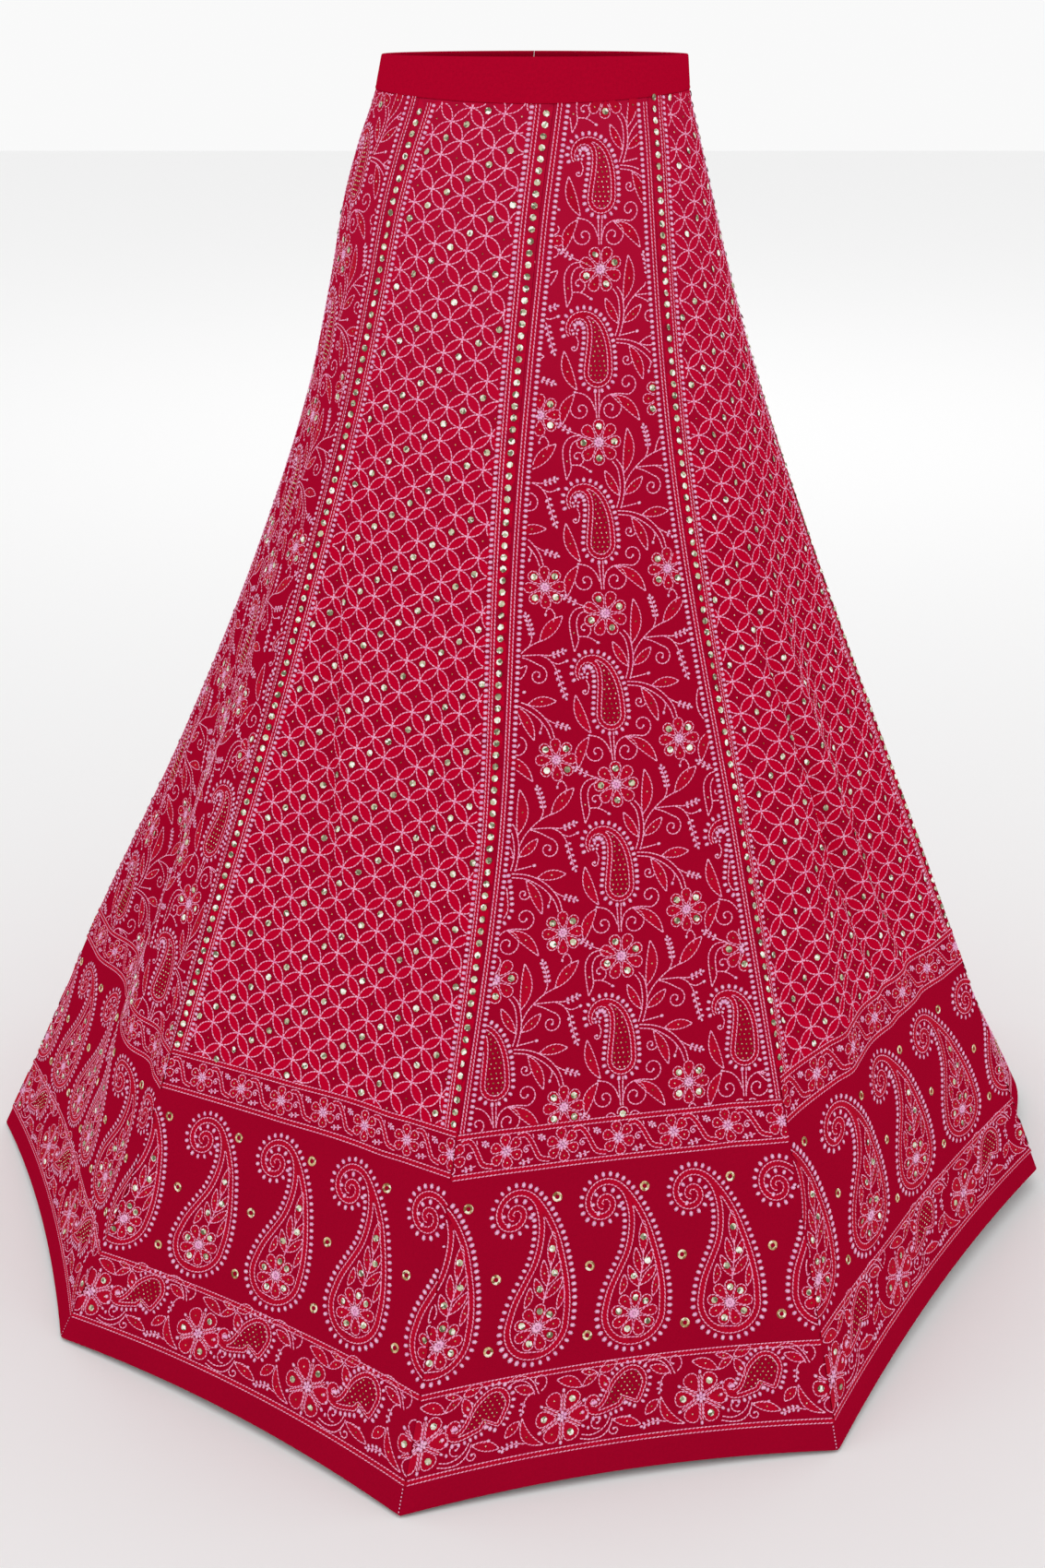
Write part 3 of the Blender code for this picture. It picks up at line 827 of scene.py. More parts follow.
class KaliFace:
    """One kali's outer face, sampled finely, on which flat drawings are laid."""

    def __init__(self, form: SkirtForm, kali: int) -> None:
        """Samples the face.

        Args:
            form: the skirt's form.
            kali: the kali's number.
        """
        self.columns, self.rows, self.top = 80, 520, 0.02
        across, down = np.meshgrid(np.linspace(0.0, 1.0, self.columns + 1),
                                   np.linspace(self.top, 1.0, self.rows + 1))
        steps = np.linalg.norm(np.diff(form.points(kali, across, down), axis=1), axis=-1)
        steps = np.cumsum(np.concatenate([np.zeros((self.rows + 1, 1)), steps], axis=1), axis=1)
        self.shares = steps / steps[:, -1:]
        across = np.array([np.interp(across[0], share, across[0]) for share in self.shares])
        self.points = form.points(kali, across, down)
        self.normals = unit(np.cross(np.gradient(self.points, axis=0), np.gradient(self.points, axis=1)))
        middle = self.points[:, self.columns // 2]
        steps = np.linalg.norm(np.diff(middle, axis=0), axis=-1) / MM
        self.up = np.concatenate([np.cumsum(steps[::-1])[::-1], [0.0]])
        self.widths = np.linalg.norm(np.diff(self.points, axis=1), axis=-1).sum(axis=1) / MM
        bearing = (form.seam_bearing(kali - 1, np.array(0.03)) * 0.5
                   + form.seam_bearing(kali, np.array(0.03)) * 0.5)
        self.body_top = float(np.interp(-form.band_depth(bearing) / form.drop, -np.linspace(self.top, 1.0,
                                        self.rows + 1)[::-1], self.up[::-1]))

    def width(self, up: np.ndarray) -> np.ndarray:
        """Width of the kali at a height up the slant, in millimetres."""
        return np.interp(up, self.up[::-1], self.widths[::-1])

    def lay(self, across: np.ndarray, up: np.ndarray) -> tuple[np.ndarray, np.ndarray]:
        """Points and normals of the face, bilinear between its samples.

        Args:
            across: shares of the width from the left seam, along the folded cloth.
            up: heights up the slant in millimetres.

        Returns:
            Points in metres and unit normals.
        """
        row = np.interp(up, self.up[::-1], np.arange(self.rows, -1, -1.0))
        column = np.clip(across, 0.0, 1.0) * self.columns
        return self.read(self.points, row, column), unit(self.read(self.normals, row, column))

    def read(self, grid: np.ndarray, row: np.ndarray, column: np.ndarray) -> np.ndarray:
        """Mean of a grid's four corners round each place, by nearness."""
        i = np.clip(row.astype(int), 0, self.rows - 1)
        j = np.clip(column.astype(int), 0, self.columns - 1)
        v, u = (row - i)[..., None], (column - j)[..., None]
        return ((grid[i, j] * (1 - u) + grid[i, j + 1] * u) * (1 - v)
                + (grid[i + 1, j] * (1 - u) + grid[i + 1, j + 1] * u) * v)

    def share(self, across: np.ndarray, down: np.ndarray) -> np.ndarray:
        """Share of a row's length that lies left of a place."""
        row = (down - self.top) / (1.0 - self.top) * self.rows
        return self.read(self.shares[..., None], row, across * self.columns)[..., 0]


def make_mesh(name: str, points: np.ndarray, faces: np.ndarray, smooth_faces: bool,
              uv: np.ndarray | None = None) -> bpy.types.Object:
    """A mesh object at the origin from arrays.

    Args:
        name: the piece's name.
        points: places in metres, one row each.
        faces: corner numbers, one row for each triangle or quad.
        smooth_faces: whether they are shaded smooth.
        uv: a place on the map for each point.

    Returns:
        The linked object.
    """
    sides = faces.shape[1]
    mesh = bpy.data.meshes.new(name)
    mesh.vertices.add(len(points))
    mesh.vertices.foreach_set("co", points.astype(np.float32).ravel())
    mesh.loops.add(faces.size)
    mesh.loops.foreach_set("vertex_index", faces.astype(np.int32).ravel())
    mesh.polygons.add(len(faces))
    mesh.polygons.foreach_set("loop_start", np.arange(0, faces.size, sides, dtype=np.int32))
    mesh.polygons.foreach_set("use_smooth", np.full(len(faces), smooth_faces))
    if uv is not None:
        layer = mesh.uv_layers.new(name="cut")
        layer.uv.foreach_set("vector", uv[faces.ravel()].astype(np.float32).ravel())
    mesh.update(calc_edges=True)
    piece = bpy.data.objects.new(name, mesh)
    bpy.context.scene.collection.objects.link(piece)
    return piece


def wall_faces(rows: int, columns: int) -> np.ndarray:
    """Quads of a closed wall: outer grid, inner grid turned over, and strips round the four edges."""
    near = np.arange(rows * columns).reshape(rows, columns)
    far = near + rows * columns

    def strip(one: np.ndarray, other: np.ndarray) -> np.ndarray:
        """Quads from a line of outer points to the same line of inner ones."""
        return np.stack([one[:-1], other[:-1], other[1:], one[1:]], axis=-1)

    outer = np.stack([near[:-1, :-1], near[1:, :-1], near[1:, 1:], near[:-1, 1:]], axis=-1)
    inner = np.stack([far[:-1, :-1], far[:-1, 1:], far[1:, 1:], far[1:, :-1]], axis=-1)
    return np.concatenate([
        outer.reshape(-1, 4), inner.reshape(-1, 4), strip(near[:, 0], far[:, 0]),
        strip(near[::-1, -1], far[::-1, -1]), strip(near[-1], far[-1]), strip(near[0, ::-1], far[0, ::-1]),
    ])


class Val:
    """A shader socket on which numbers and other sockets do sums, each adding a Math node."""

    def __init__(self, finish: "Finish", socket: bpy.types.NodeSocket) -> None:
        """Wraps a socket of a finish's node tree."""
        self.finish, self.socket = finish, socket

    def _do(self, operation: str, *others: "Val | float") -> "Val":
        """One Math node on this value and the others."""
        values = {number: other for number, other in enumerate((self, *others))}
        return self.finish.node("ShaderNodeMath", {"operation": operation}, values)

    def __add__(self, other: "Val | float") -> "Val":
        """Sum."""
        return self._do("ADD", other)

    __radd__ = __add__

    def __mul__(self, other: "Val | float") -> "Val":
        """Product."""
        return self._do("MULTIPLY", other)

    __rmul__ = __mul__

    def __sub__(self, other: "Val | float") -> "Val":
        """Difference."""
        return self._do("SUBTRACT", other)

    def __rsub__(self, other: float) -> "Val":
        """A number less this."""
        return self.finish.node("ShaderNodeMath", {"operation": "SUBTRACT"}, {0: other, 1: self})

    def fraction(self) -> "Val":
        """What is left past the whole number."""
        return self._do("FRACT")

    def size(self) -> "Val":
        """Without its sign."""
        return self._do("ABSOLUTE")

    def least(self, other: "Val | float") -> "Val":
        """The smaller of the two."""
        return self._do("MINIMUM", other)

    def most(self, other: "Val | float") -> "Val":
        """The larger of the two."""
        return self._do("MAXIMUM", other)

    def ramp(self, low: float, high: float) -> "Val":
        """A smooth step from 0 at low to 1 at high."""
        return self.finish.node("ShaderNodeMapRange", {"interpolation_type": "SMOOTHSTEP"},
                                {"Value": self, "From Min": low, "From Max": high})


class Finish:
    """A material under construction."""

    def __init__(self, name: str, roughness: float, **constants: float) -> None:
        """Starts a Principled material.

        Args:
            name: the finish's name.
            roughness: its even roughness.
            constants: other shader sockets that stay even, named with underscores.
        """
        self.material = bpy.data.materials.new(name)
        self.material.use_nodes = True
        self.tree = self.material.node_tree
        self.shader = self.tree.nodes["Principled BSDF"]
        self.shader.inputs["Roughness"].default_value = roughness
        for socket, value in constants.items():
            self.shader.inputs[socket.replace("_", " ")].default_value = value

    def node(self, kind: str, settings: dict | None = None, values: dict | None = None,
             output: int | str = 0) -> Val:
        """Adds a node.

        Args:
            kind: the node's type.
            settings: its own settings, set first.
            values: numbers, colours or links for its sockets, by name or number.
            output: which output is wanted.

        Returns:
            That output, wrapped.
        """
        node = self.tree.nodes.new(kind)
        for name, value in (settings or {}).items():
            setattr(node, name, value)
        for name, value in (values or {}).items():
            if isinstance(value, Val):
                self.tree.links.new(value.socket, node.inputs[name])
            else:
                node.inputs[name].default_value = value
        return Val(self, node.outputs[output])

    def mix(self, share: Val | float, one: Val | tuple, other: Val | tuple) -> Val:
        """One colour going over to the other by a share."""
        return self.node("ShaderNodeMix", {"data_type": "RGBA"}, {0: share, 6: one, 7: other}, 2)

    def noise(self, place: Val, scale: float, detail: float = 2.0) -> Val:
        """Soft noise from 0 to 1 at a place."""
        return self.node("ShaderNodeTexNoise", None, {"Vector": place, "Scale": scale, "Detail": detail})

    def put(self, socket: str, value: Val) -> None:
        """Feeds one of the shader's sockets."""
        self.tree.links.new(value.socket, self.shader.inputs[socket])

    def bump(self, height: Val, distance: float, strength: float = 1.0) -> None:
        """Raises the surface by a height from 0 to 1 times a distance in metres."""
        self.put("Normal", self.node("ShaderNodeBump", None,
                                     {"Height": height, "Distance": distance, "Strength": strength}))


def shade(red: float, green: float, blue: float) -> tuple:
    """A linear colour from screen values out of 255."""
    screen = np.array([red, green, blue]) / 255.0
    linear = np.where(screen <= 0.04045, screen / 12.92, ((screen + 0.055) / 1.055) ** 2.4)
    return (*map(float, linear), 1.0)


@dataclass(frozen=True)
class KaliCloth:
    """Dyed georgette: crimson, brighter inside the lattice's petals, with a fine crinkled weave, and a
    painted sheen that pales it towards the waist.
    """

    ground: tuple = shade(170, 5, 42)
    petal: tuple = shade(196, 3, 44)
    deep: tuple = shade(155, 5, 39)
    # painted sheen: a paler, greyer pink that stands in for the shine of light near the waist
    faded: tuple = shade(184, 20, 58)

    def material(self, name: str, style: Style, lattice: Lattice, stretch: float, phase: float,
                 body: tuple[float, float]) -> bpy.types.Material:
        """The cloth of one kali.

        Args:
            name: the material's name.
            style: lattice or floral.
            lattice: the lattice's steps.
            stretch: how far this kali's pattern is widened.
            phase: the lattice's shift.
            body: heights between which the lattice runs.

        Returns:
            The material.
        """
        finish = Finish(name, 0.85, Specular_IOR_Level=0.0)
        cut = finish.node("ShaderNodeUVMap", {"uv_map": "cut"})
        parts = finish.node("ShaderNodeSeparateXYZ", None, {0: cut})
        x = Val(finish, parts.socket.node.outputs[0]) * 1000.0
        y = Val(finish, parts.socket.node.outputs[1]) * 1000.0
        mottle = finish.noise(cut, 420.0, 3.0).ramp(0.25, 0.75)
        patches = finish.noise(cut, 14.0, 2.0).ramp(0.2, 0.8)
        shared = y.ramp(240.0, 420.0) * (0.05 if style is Style.LATTICE else 0.3)
        color = finish.mix(mottle * 0.35 + patches * 0.25 + shared, self.deep, self.ground)
        if style is Style.LATTICE:
            petals = self.petals(x, y, lattice, stretch, phase)
            inside = y.ramp(body[0] - 0.5, body[0] + 0.5)
            color = finish.mix(petals * inside, color, finish.mix(mottle * 0.3, self.petal, self.ground))
        # painted sheen: the cloth pales towards the waist, from 600 mm up the slant, as shine of light
        # would
        color = finish.mix(y.ramp(600.0, 1010.0) * 0.6, color, self.faded)
        finish.put("Base Color", color)
        weave = finish.noise(cut, 900.0, 2.0) * 0.7 + finish.noise(cut, 160.0, 3.0) * 0.9
        finish.bump(weave, 0.0006, 0.55)
        return finish.material

    def petals(self, x: Val, y: Val, lattice: Lattice, stretch: float, phase: float) -> Val:
        """Where two circles round neighbouring cells overlap, in the lattice's own coordinates."""
        first = complex(lattice.first.real * stretch, lattice.first.imag)
        second = complex(lattice.second.real * stretch, lattice.second.imag)
        start = complex(0.0, 560.0) + first * phase
        area = first.real * second.imag - first.imag * second.real
        dx, dy = x - start.real, y - start.imag
        s = (dx * (second.imag / area) - dy * (second.real / area)).fraction()
        t = (dy * (first.real / area) - dx * (first.imag / area)).fraction()
        a, b = (s - 0.5).size(), (t - 0.5).size()
        level = a * a + (1.0 - b) * (1.0 - b)
        upright = b * b + (1.0 - a) * (1.0 - a)
        return 1.0 - level.least(upright).ramp(0.47, 0.53)


@dataclass(frozen=True)
class BandCloth:
    """The waistband's plain weave, with small soft gathers along it."""

    color: tuple = shade(180, 5, 42)
    deep: tuple = shade(162, 5, 38)

    def material(self) -> bpy.types.Material:
        """The waistband's cloth."""
        finish = Finish("waistband_crimson", 0.85, Specular_IOR_Level=0.0)
        cut = finish.node("ShaderNodeUVMap", {"uv_map": "cut"})
        mottle = finish.noise(cut, 420.0, 3.0).ramp(0.25, 0.75)
        finish.put("Base Color", finish.mix(mottle * 0.5, self.color, self.deep))
        finish.bump(finish.noise(cut, 800.0, 2.0) + finish.noise(cut, 120.0, 2.0), 0.0005, 0.5)
        return finish.material


@dataclass(frozen=True)
class Soft:
    """A matt thread or cloth whose colour goes between two shades in fine patches."""

    name: str
    color: tuple
    dark: tuple
    patches: float

    def material(self) -> bpy.types.Material:
        """The finish, with patches of one over their number to a metre."""
        finish = Finish(self.name, 0.8, Specular_IOR_Level=0.05)
        place = finish.node("ShaderNodeTexCoord", None, None, "Object")
        tint = finish.noise(place, self.patches, 1.0).ramp(0.3, 0.7)
        finish.put("Base Color", finish.mix(tint, self.dark, self.color))
        return finish.material


@dataclass(frozen=True)
class Metal:
    """Glinting metal: its base colour is painted in cells of a millimetre or two, some dark, some bright,
    painted reflections and glints that stand in for facets showing the room.
    """

    name: str
    # dark: a painted reflection of the room's darker parts in some facets
    dark: tuple
    color: tuple
    # painted glint: the brightest facets' painted highlight
    glint: tuple
    roughness: float

    def material(self) -> bpy.types.Material:
        """The metal, with its painted reflections and glints in the base colour."""
        finish = Finish(self.name, self.roughness, Metallic=1.0)
        place = finish.node("ShaderNodeTexCoord", None, None, "Object")
        cells = finish.node("ShaderNodeTexVoronoi", None, {"Vector": place, "Scale": 420.0}, "Color")
        parts = finish.node("ShaderNodeSeparateColor", None, {0: cells})
        # painted reflections: each cell's base colour goes from the dark painted reflection to the metal's
        # colour, and the brightest cells to the painted glint
        tone = finish.mix(parts.ramp(0.1, 0.55), self.dark, self.color)
        finish.put("Base Color", finish.mix(parts.ramp(0.55, 0.85), tone, self.glint))
        return finish.material


@dataclass
class Grains:
    """Small repeated bodies on the cloth, in millimetres, made as one mesh from arrays."""

    stitch: float = 2.6
    gap: float = 0.4
    stitch_width: float = 0.88
    stitch_height: float = 0.3
    knot_plump: float = 0.62
    knot_height: float = 0.75
    sequin: float = 2.6
    plate_lift: float = 0.16
    plate_sink: float = 0.35
    sequin_sides: int = 7
    ring: float = 2.75
    dot: float = 0.75

    def cut_up(self, lines: list[np.ndarray]) -> np.ndarray:
        """Running stitches along lines: equal parts of each line's length with the gap between them."""
        found = []
        for line in lines:
            at = np.concatenate([[0.0], np.cumsum(np.abs(np.diff(line)))])
            count = max(int(round(at[-1] / (self.stitch + self.gap))), 1)
            edges = np.arange(count) * at[-1] / count
            ends = np.stack([edges + self.gap / 2, edges + at[-1] / count - self.gap / 2], axis=-1)
            found.append(np.interp(ends, at, line.real) + 1j * np.interp(ends, at, line.imag))
        return np.concatenate(found) if found else np.zeros((0, 2), complex)

    def stitches(self, ends: np.ndarray, normals: np.ndarray) -> tuple[np.ndarray, np.ndarray]:
        """Flat stitches: four corners, two opposite ones low in the cloth and two above it.

        Args:
            ends: start and end points in metres, shaped (n, 2, 3).
            normals: the cloth's normal at each stitch.

        Returns:
            Points and triangles.
        """
        start, end = ends[:, 0], ends[:, 1]
        side = unit(np.cross(normals, end - start)) * self.stitch_width * MM / 2
        low = normals * 0.12 * MM
        rise = normals * self.stitch_height * MM
        corners = [start + side - low, start - side + rise, end - side - low, end + side + rise]
        return self.repeat(np.stack(corners, axis=1), [(1, 2, 3), (3, 0, 1), (0, 2, 1), (0, 3, 2)])

    def knots(self, ends: np.ndarray, normals: np.ndarray) -> tuple[np.ndarray, np.ndarray]:
        """Plump grains: six corners round an oval on the cloth and one above its middle.

        Args:
            ends: start and end points in metres, shaped (n, 2, 3).
            normals: the cloth's normal at each knot.

        Returns:
            Points and triangles.
        """
        start, end = ends[:, 0], ends[:, 1]
        run = end - start
        size = np.linalg.norm(run, axis=-1, keepdims=True)
        side = unit(np.cross(normals, run)) * size * self.knot_plump / 2
        near, far = start * 0.76 + end * 0.24, start * 0.24 + end * 0.76
        rise = normals * 0.12 * MM
        top = (start + end) / 2 + normals * np.minimum(size * 0.25, self.knot_height * MM)
        corners = [start, near - side + rise, far - side + rise, end,
                   far + side + rise, near + side + rise, top]
        pattern = [(number, (number + 1) % 6, 6) for number in range(6)]
        pattern += [(0, number + 1, number) for number in range(1, 5)]
        return self.repeat(np.stack(corners, axis=1), pattern)

    def plates(self, rims: np.ndarray, normals: np.ndarray) -> tuple[np.ndarray, np.ndarray]:
        """Thin plates just above the cloth, each a ladder across its rim on top and a fan to a point below.

        Args:
            rims: points round each plate in metres, shaped (n, corners, 3).
            normals: the cloth's normal at each plate.

        Returns:
            Points and triangles.
        """
        count = rims.shape[1]
        middle = rims.mean(axis=1, keepdims=True)
        around = np.cross(rims - middle, np.roll(rims, -1, axis=1) - middle).sum(axis=1)
        turned = (around * normals).sum(axis=-1) < 0.0
        rims = np.where(turned[:, None, None], rims[:, ::-1], rims)
        corners = np.concatenate([rims + normals[:, None] * self.plate_lift * MM,
                                  middle - normals[:, None] * self.plate_sink * MM], axis=1)
        pattern = []
        for near in range(count // 2 - 1):
            far = count - 1 - near
            pattern += [(near, near + 1, far), (near + 1, far - 1, far)]
        pattern += [((number + 1) % count, number, count) for number in range(count)]
        return self.repeat(corners, pattern)

    def repeat(self, corners: np.ndarray, pattern: list) -> tuple[np.ndarray, np.ndarray]:
        """Flat lists of points and faces from corners shaped (n, corners, 3) and one body's faces."""
        count, size = corners.shape[:2]
        faces = np.array(pattern)[None] + np.arange(count)[:, None, None] * size
        return corners.reshape(-1, 3), faces.reshape(-1, 3)

    def discs(self, places: np.ndarray, normals: np.ndarray, radius: float, rise: float,
              sides: int, tilt: float) -> tuple[np.ndarray, np.ndarray]:
        """Low faceted cones on both sides of a rim, each tipped a little its own way."""
        random = np.random.default_rng(11)
        level = unit(np.cross(normals, [0.31, 0.22, 0.93]))
        across = np.cross(normals, level)
        tipped = unit(normals + random.normal(0.0, tilt, normals.shape))
        level = unit(level - tipped * np.sum(level * tipped, axis=-1, keepdims=True))
        across = np.cross(tipped, level)
        angle = (np.linspace(0.0, 2.0 * math.pi, sides, endpoint=False)
                 + random.uniform(0, 3, (len(places), 1)))
        rim = (level[:, None] * np.cos(angle)[..., None] + across[:, None] * np.sin(angle)[..., None])
        middle = places[:, None] + normals[:, None] * rise * 0.5 * MM
        corners = np.concatenate([middle + rim * radius * MM, middle + tipped[:, None] * rise * 0.6 * MM,
                                  middle - tipped[:, None] * rise * 0.5 * MM], axis=1)
        pattern = []
        for number in range(sides):
            after = (number + 1) % sides
            pattern += [(number, after, sides), (after, number, sides + 1)]
        return self.repeat(corners, pattern)

    def hoops(self, places: np.ndarray, normals: np.ndarray,
              radius: float) -> tuple[np.ndarray, np.ndarray]:
        """Small rings lying on the cloth, a four-sided tube round a circle of twelve."""
        level = unit(np.cross(normals, [0.31, 0.22, 0.93]))
        across = np.cross(normals, level)
        big, small = 14, 4
        a = np.linspace(0, 2 * math.pi, big, endpoint=False)[:, None]
        b = np.linspace(0, 2 * math.pi, small, endpoint=False)[None]
        out = ((radius + 0.95 * np.cos(b)) * MM)
        corners = (places[:, None] + level[:, None] * (out * np.cos(a)).reshape(1, -1, 1)
                   + across[:, None] * (out * np.sin(a)).reshape(1, -1, 1)
                   + normals[:, None] * ((0.25 + 0.55 * np.sin(b) + 0 * a) * MM).reshape(1, -1, 1))
        pattern = []
        for i in range(big):
            for j in range(small):
                one, two = i * small + j, i * small + (j + 1) % small
                three, four = (i + 1) % big * small + (j + 1) % small, (i + 1) % big * small + j
                pattern += [(one, four, three), (one, three, two)]
        return self.repeat(corners, pattern)


@dataclass
class Kali:
    """One kali: its cloth shell, its embroidery and its metal."""

    form: SkirtForm
    number: int
    style: Style
    stretch: float
    flat: tuple[float, float]
    area: float
    edging: Edging = field(default_factory=Edging)
    bands: Bands = field(default_factory=Bands)
    grains: Grains = field(default_factory=Grains)
    columns: int = 60
    rows: int = 80
    shell_wall: float = 0.0009

    @property
    def node(self) -> str:
        """The name of the CAD node that it stands for."""
        return f"kali_{self.number}_{self.style.value}"

    @property
    def body_stretch(self) -> float:
        """How far the body's pattern is widened, a little more than the bands."""
        return 1.0 + 1.2 * (self.stretch - 1.0)

    @property
    def phase(self) -> float:
        """How far this kali's pattern is shifted against the first."""
        return {1: -0.08, 3: 0.0, 5: 0.45, 7: 0.70, 2: 0.0, 4: 0.40, 6: 0.25, 8: 0.60}[self.number]

    def shell(self, face: KaliFace) -> bpy.types.Object:
        """The cloth: the form's face and an inner face a wall behind it, closed round its edges.

        Near a seam the face dips by a small cosine, where the turnings pull it in.
        """
        form = self.form
        left = form.seam_bearing(self.number - 1, np.array(form.seam_drops[0]))
        right = form.seam_bearing(self.number, np.array(form.seam_drops[0]))
        ends = np.array([0.0, 0.006, 0.016])
        across = np.concatenate([ends, np.linspace(0.04, 0.96, self.columns - 5), 1.0 - ends[::-1]])
        top = (form.band_depth(left * (1 - across) + right * across) + form.seam_gap) / form.drop
        down = top + (1.0 - top) * np.linspace(0.0, 1.0, self.rows + 1)[:, None]
        across = np.broadcast_to(across, down.shape)
        outer = form.points(self.number, across, down)
        step = 0.004
        run = (form.points(self.number, np.minimum(across + step, 1.0), down)
               - form.points(self.number, np.maximum(across - step, 0.0), down))
        fall = (form.points(self.number, across, np.minimum(down + step, 1.0))
                - form.points(self.number, across, down - step))
        normals = unit(np.cross(fall, run))
        width = np.interp(down, np.linspace(face.top, 1.0, face.rows + 1), face.widths)
        near = np.minimum(across, 1.0 - across) * width
        sinking = 0.0009 * (0.5 + 0.5 * np.cos(math.pi * np.clip(near / 4.0, 0, 1)))
        outer = outer - normals * sinking[..., None]
        shift = (np.where(across < 0.5, 1.0, -1.0) * np.clip(1.0 - near / 0.5, 0, 1))[..., None]
        outer = outer + unit(run) * shift * form.seam_gap / 2
        inner = outer - normals * self.shell_wall
        up = np.interp(down, np.linspace(face.top, 1.0, face.rows + 1), face.up)
        uv = np.stack([(face.share(across, down) - 0.5) * width * MM, up * MM], axis=-1).reshape(-1, 2)
        points = np.concatenate([outer.reshape(-1, 3), inner.reshape(-1, 3)])
        piece = make_mesh(self.node + "_cloth", points, wall_faces(*down.shape), True,
                          np.concatenate([uv, uv]))
        piece.data.set_sharp_from_angle(angle=math.radians(50))
        return piece

    def strips(self, face: KaliFace) -> Drawing:
        """Sequins, double lines and knot rows along both seams, from the bands to the waist."""
        edging, drawing = self.edging, Drawing()
        up = np.linspace(self.bands.narrow_top + 1.0, face.body_top - 1.0, 140)
        wider = edging.widening(up)
        low = np.arange(2.0, self.bands.border_foot - 1.0, 2.6)
        seam = face.width(low) / 2 - edging.machine + 1j * low
        drawing.knot(seam, np.gradient(seam), 1.5)
        lattice = self.style is Style.LATTICE
        for side in (-1, 1):
            def row(distance: float) -> np.ndarray:
                """The line at a distance from this seam."""
                return side * (face.width(up) / 2 - distance * wider) + 1j * up

            rail = edging.lattice_rail if lattice else edging.floral_rail
            drawing.lifted(row(rail), row(rail + edging.rail_gap))
            from_seam = edging.lattice_knots if lattice else edging.floral_knots
            drawing.knots_beside(row(from_seam), 0.0, 4.2, 4.1)
            if lattice:
                line = row(edging.sequins)
                at = np.concatenate([[0.0], np.cumsum(np.abs(np.diff(line)))])
                wanted = np.arange(4.0, at[-1] - 2.0, edging.sequin_pitch)
                drawing.sequin(*(np.interp(wanted, at, line.real) + 1j * np.interp(wanted, at, line.imag)))
        return drawing

    def layers(self, face: KaliFace) -> list["Layer"]:
        """All drawings of this kali, each with the zone that it is laid in."""
        bands, stretch = self.bands, self.stretch
        if self.style is Style.LATTICE:
            body = Lattice().drawing(face.body_top, self.body_stretch, self.phase)
        else:
            body = Floral().drawing(face.body_top, self.phase)
        layers = [Layer(body, Zone.BODY), Layer(self.strips(face), Zone.STRIP)]
        for level, make, pitch, heights in zip((55.0, 165.0, 250.0),
                                               (bands.border, bands.paisley_band, bands.vine),
                                               bands.pitches, ((bands.border_foot, bands.border_top), (),
                                                               (bands.narrow_foot, bands.narrow_top))):
            width = float(face.width(np.array(level))) / stretch
            drawing = make(width, max(round(width / pitch), 1)).add(bands.rails(width, heights))
            layers.append(Layer(drawing, Zone.BAND, level))
        return layers

    def laid_across(self, face: KaliFace, spots: np.ndarray, layer: "Layer") -> np.ndarray:
        """Fractions across the kali of drawn places: a band keeps one width, so that it runs over seams."""
        if layer.zone is Zone.BAND:
            return 0.5 + spots.real * self.stretch / face.width(np.array(layer.level))
        if layer.zone is Zone.STRIP:
            return 0.5 + spots.real / face.width(spots.imag)
        return 0.5 + spots.real * self.body_stretch / face.width(spots.imag)

    def kept(self, face: KaliFace, spots: np.ndarray, layer: "Layer") -> np.ndarray:
        """Which drawn places lie on this kali and in their zone."""
        across, up = self.laid_across(face, spots, layer), spots.imag
        if layer.zone is Zone.BAND:
            return (across > 0.002) & (across < 0.998) & (up > 8.0)
        inside = (up < face.body_top - 1.0) & (up > self.bands.narrow_top + 1.0)
        if layer.zone is Zone.STRIP:
            return inside | (up < self.bands.border_foot)
        room = self.edging.inner(self.style) * self.edging.widening(up)
        return inside & (np.minimum(across, 1.0 - across) * face.width(up) > room)

    def laid(self, face: KaliFace, layers: list["Layer"], kind: int) -> tuple[np.ndarray, np.ndarray]:
        """Places and normals on the face of all items of one kind that are kept."""
        places, normals = [], []
        for layer in layers:
            items = layer.drawing.kinds()[kind]
            if not items:
                continue
            if kind == 0:
                ends = self.grains.cut_up(items)
            elif kind in (1, 5):
                ends = np.concatenate(items)
            else:
                ends = np.concatenate(items)[:, None]
            ends = ends[self.kept(face, ends.mean(axis=1), layer)]
            point, normal = face.lay(self.laid_across(face, ends, layer), ends.imag)
            places.append(point)
            normals.append(normal.mean(axis=1))
        return np.concatenate(places), unit(np.concatenate(normals))

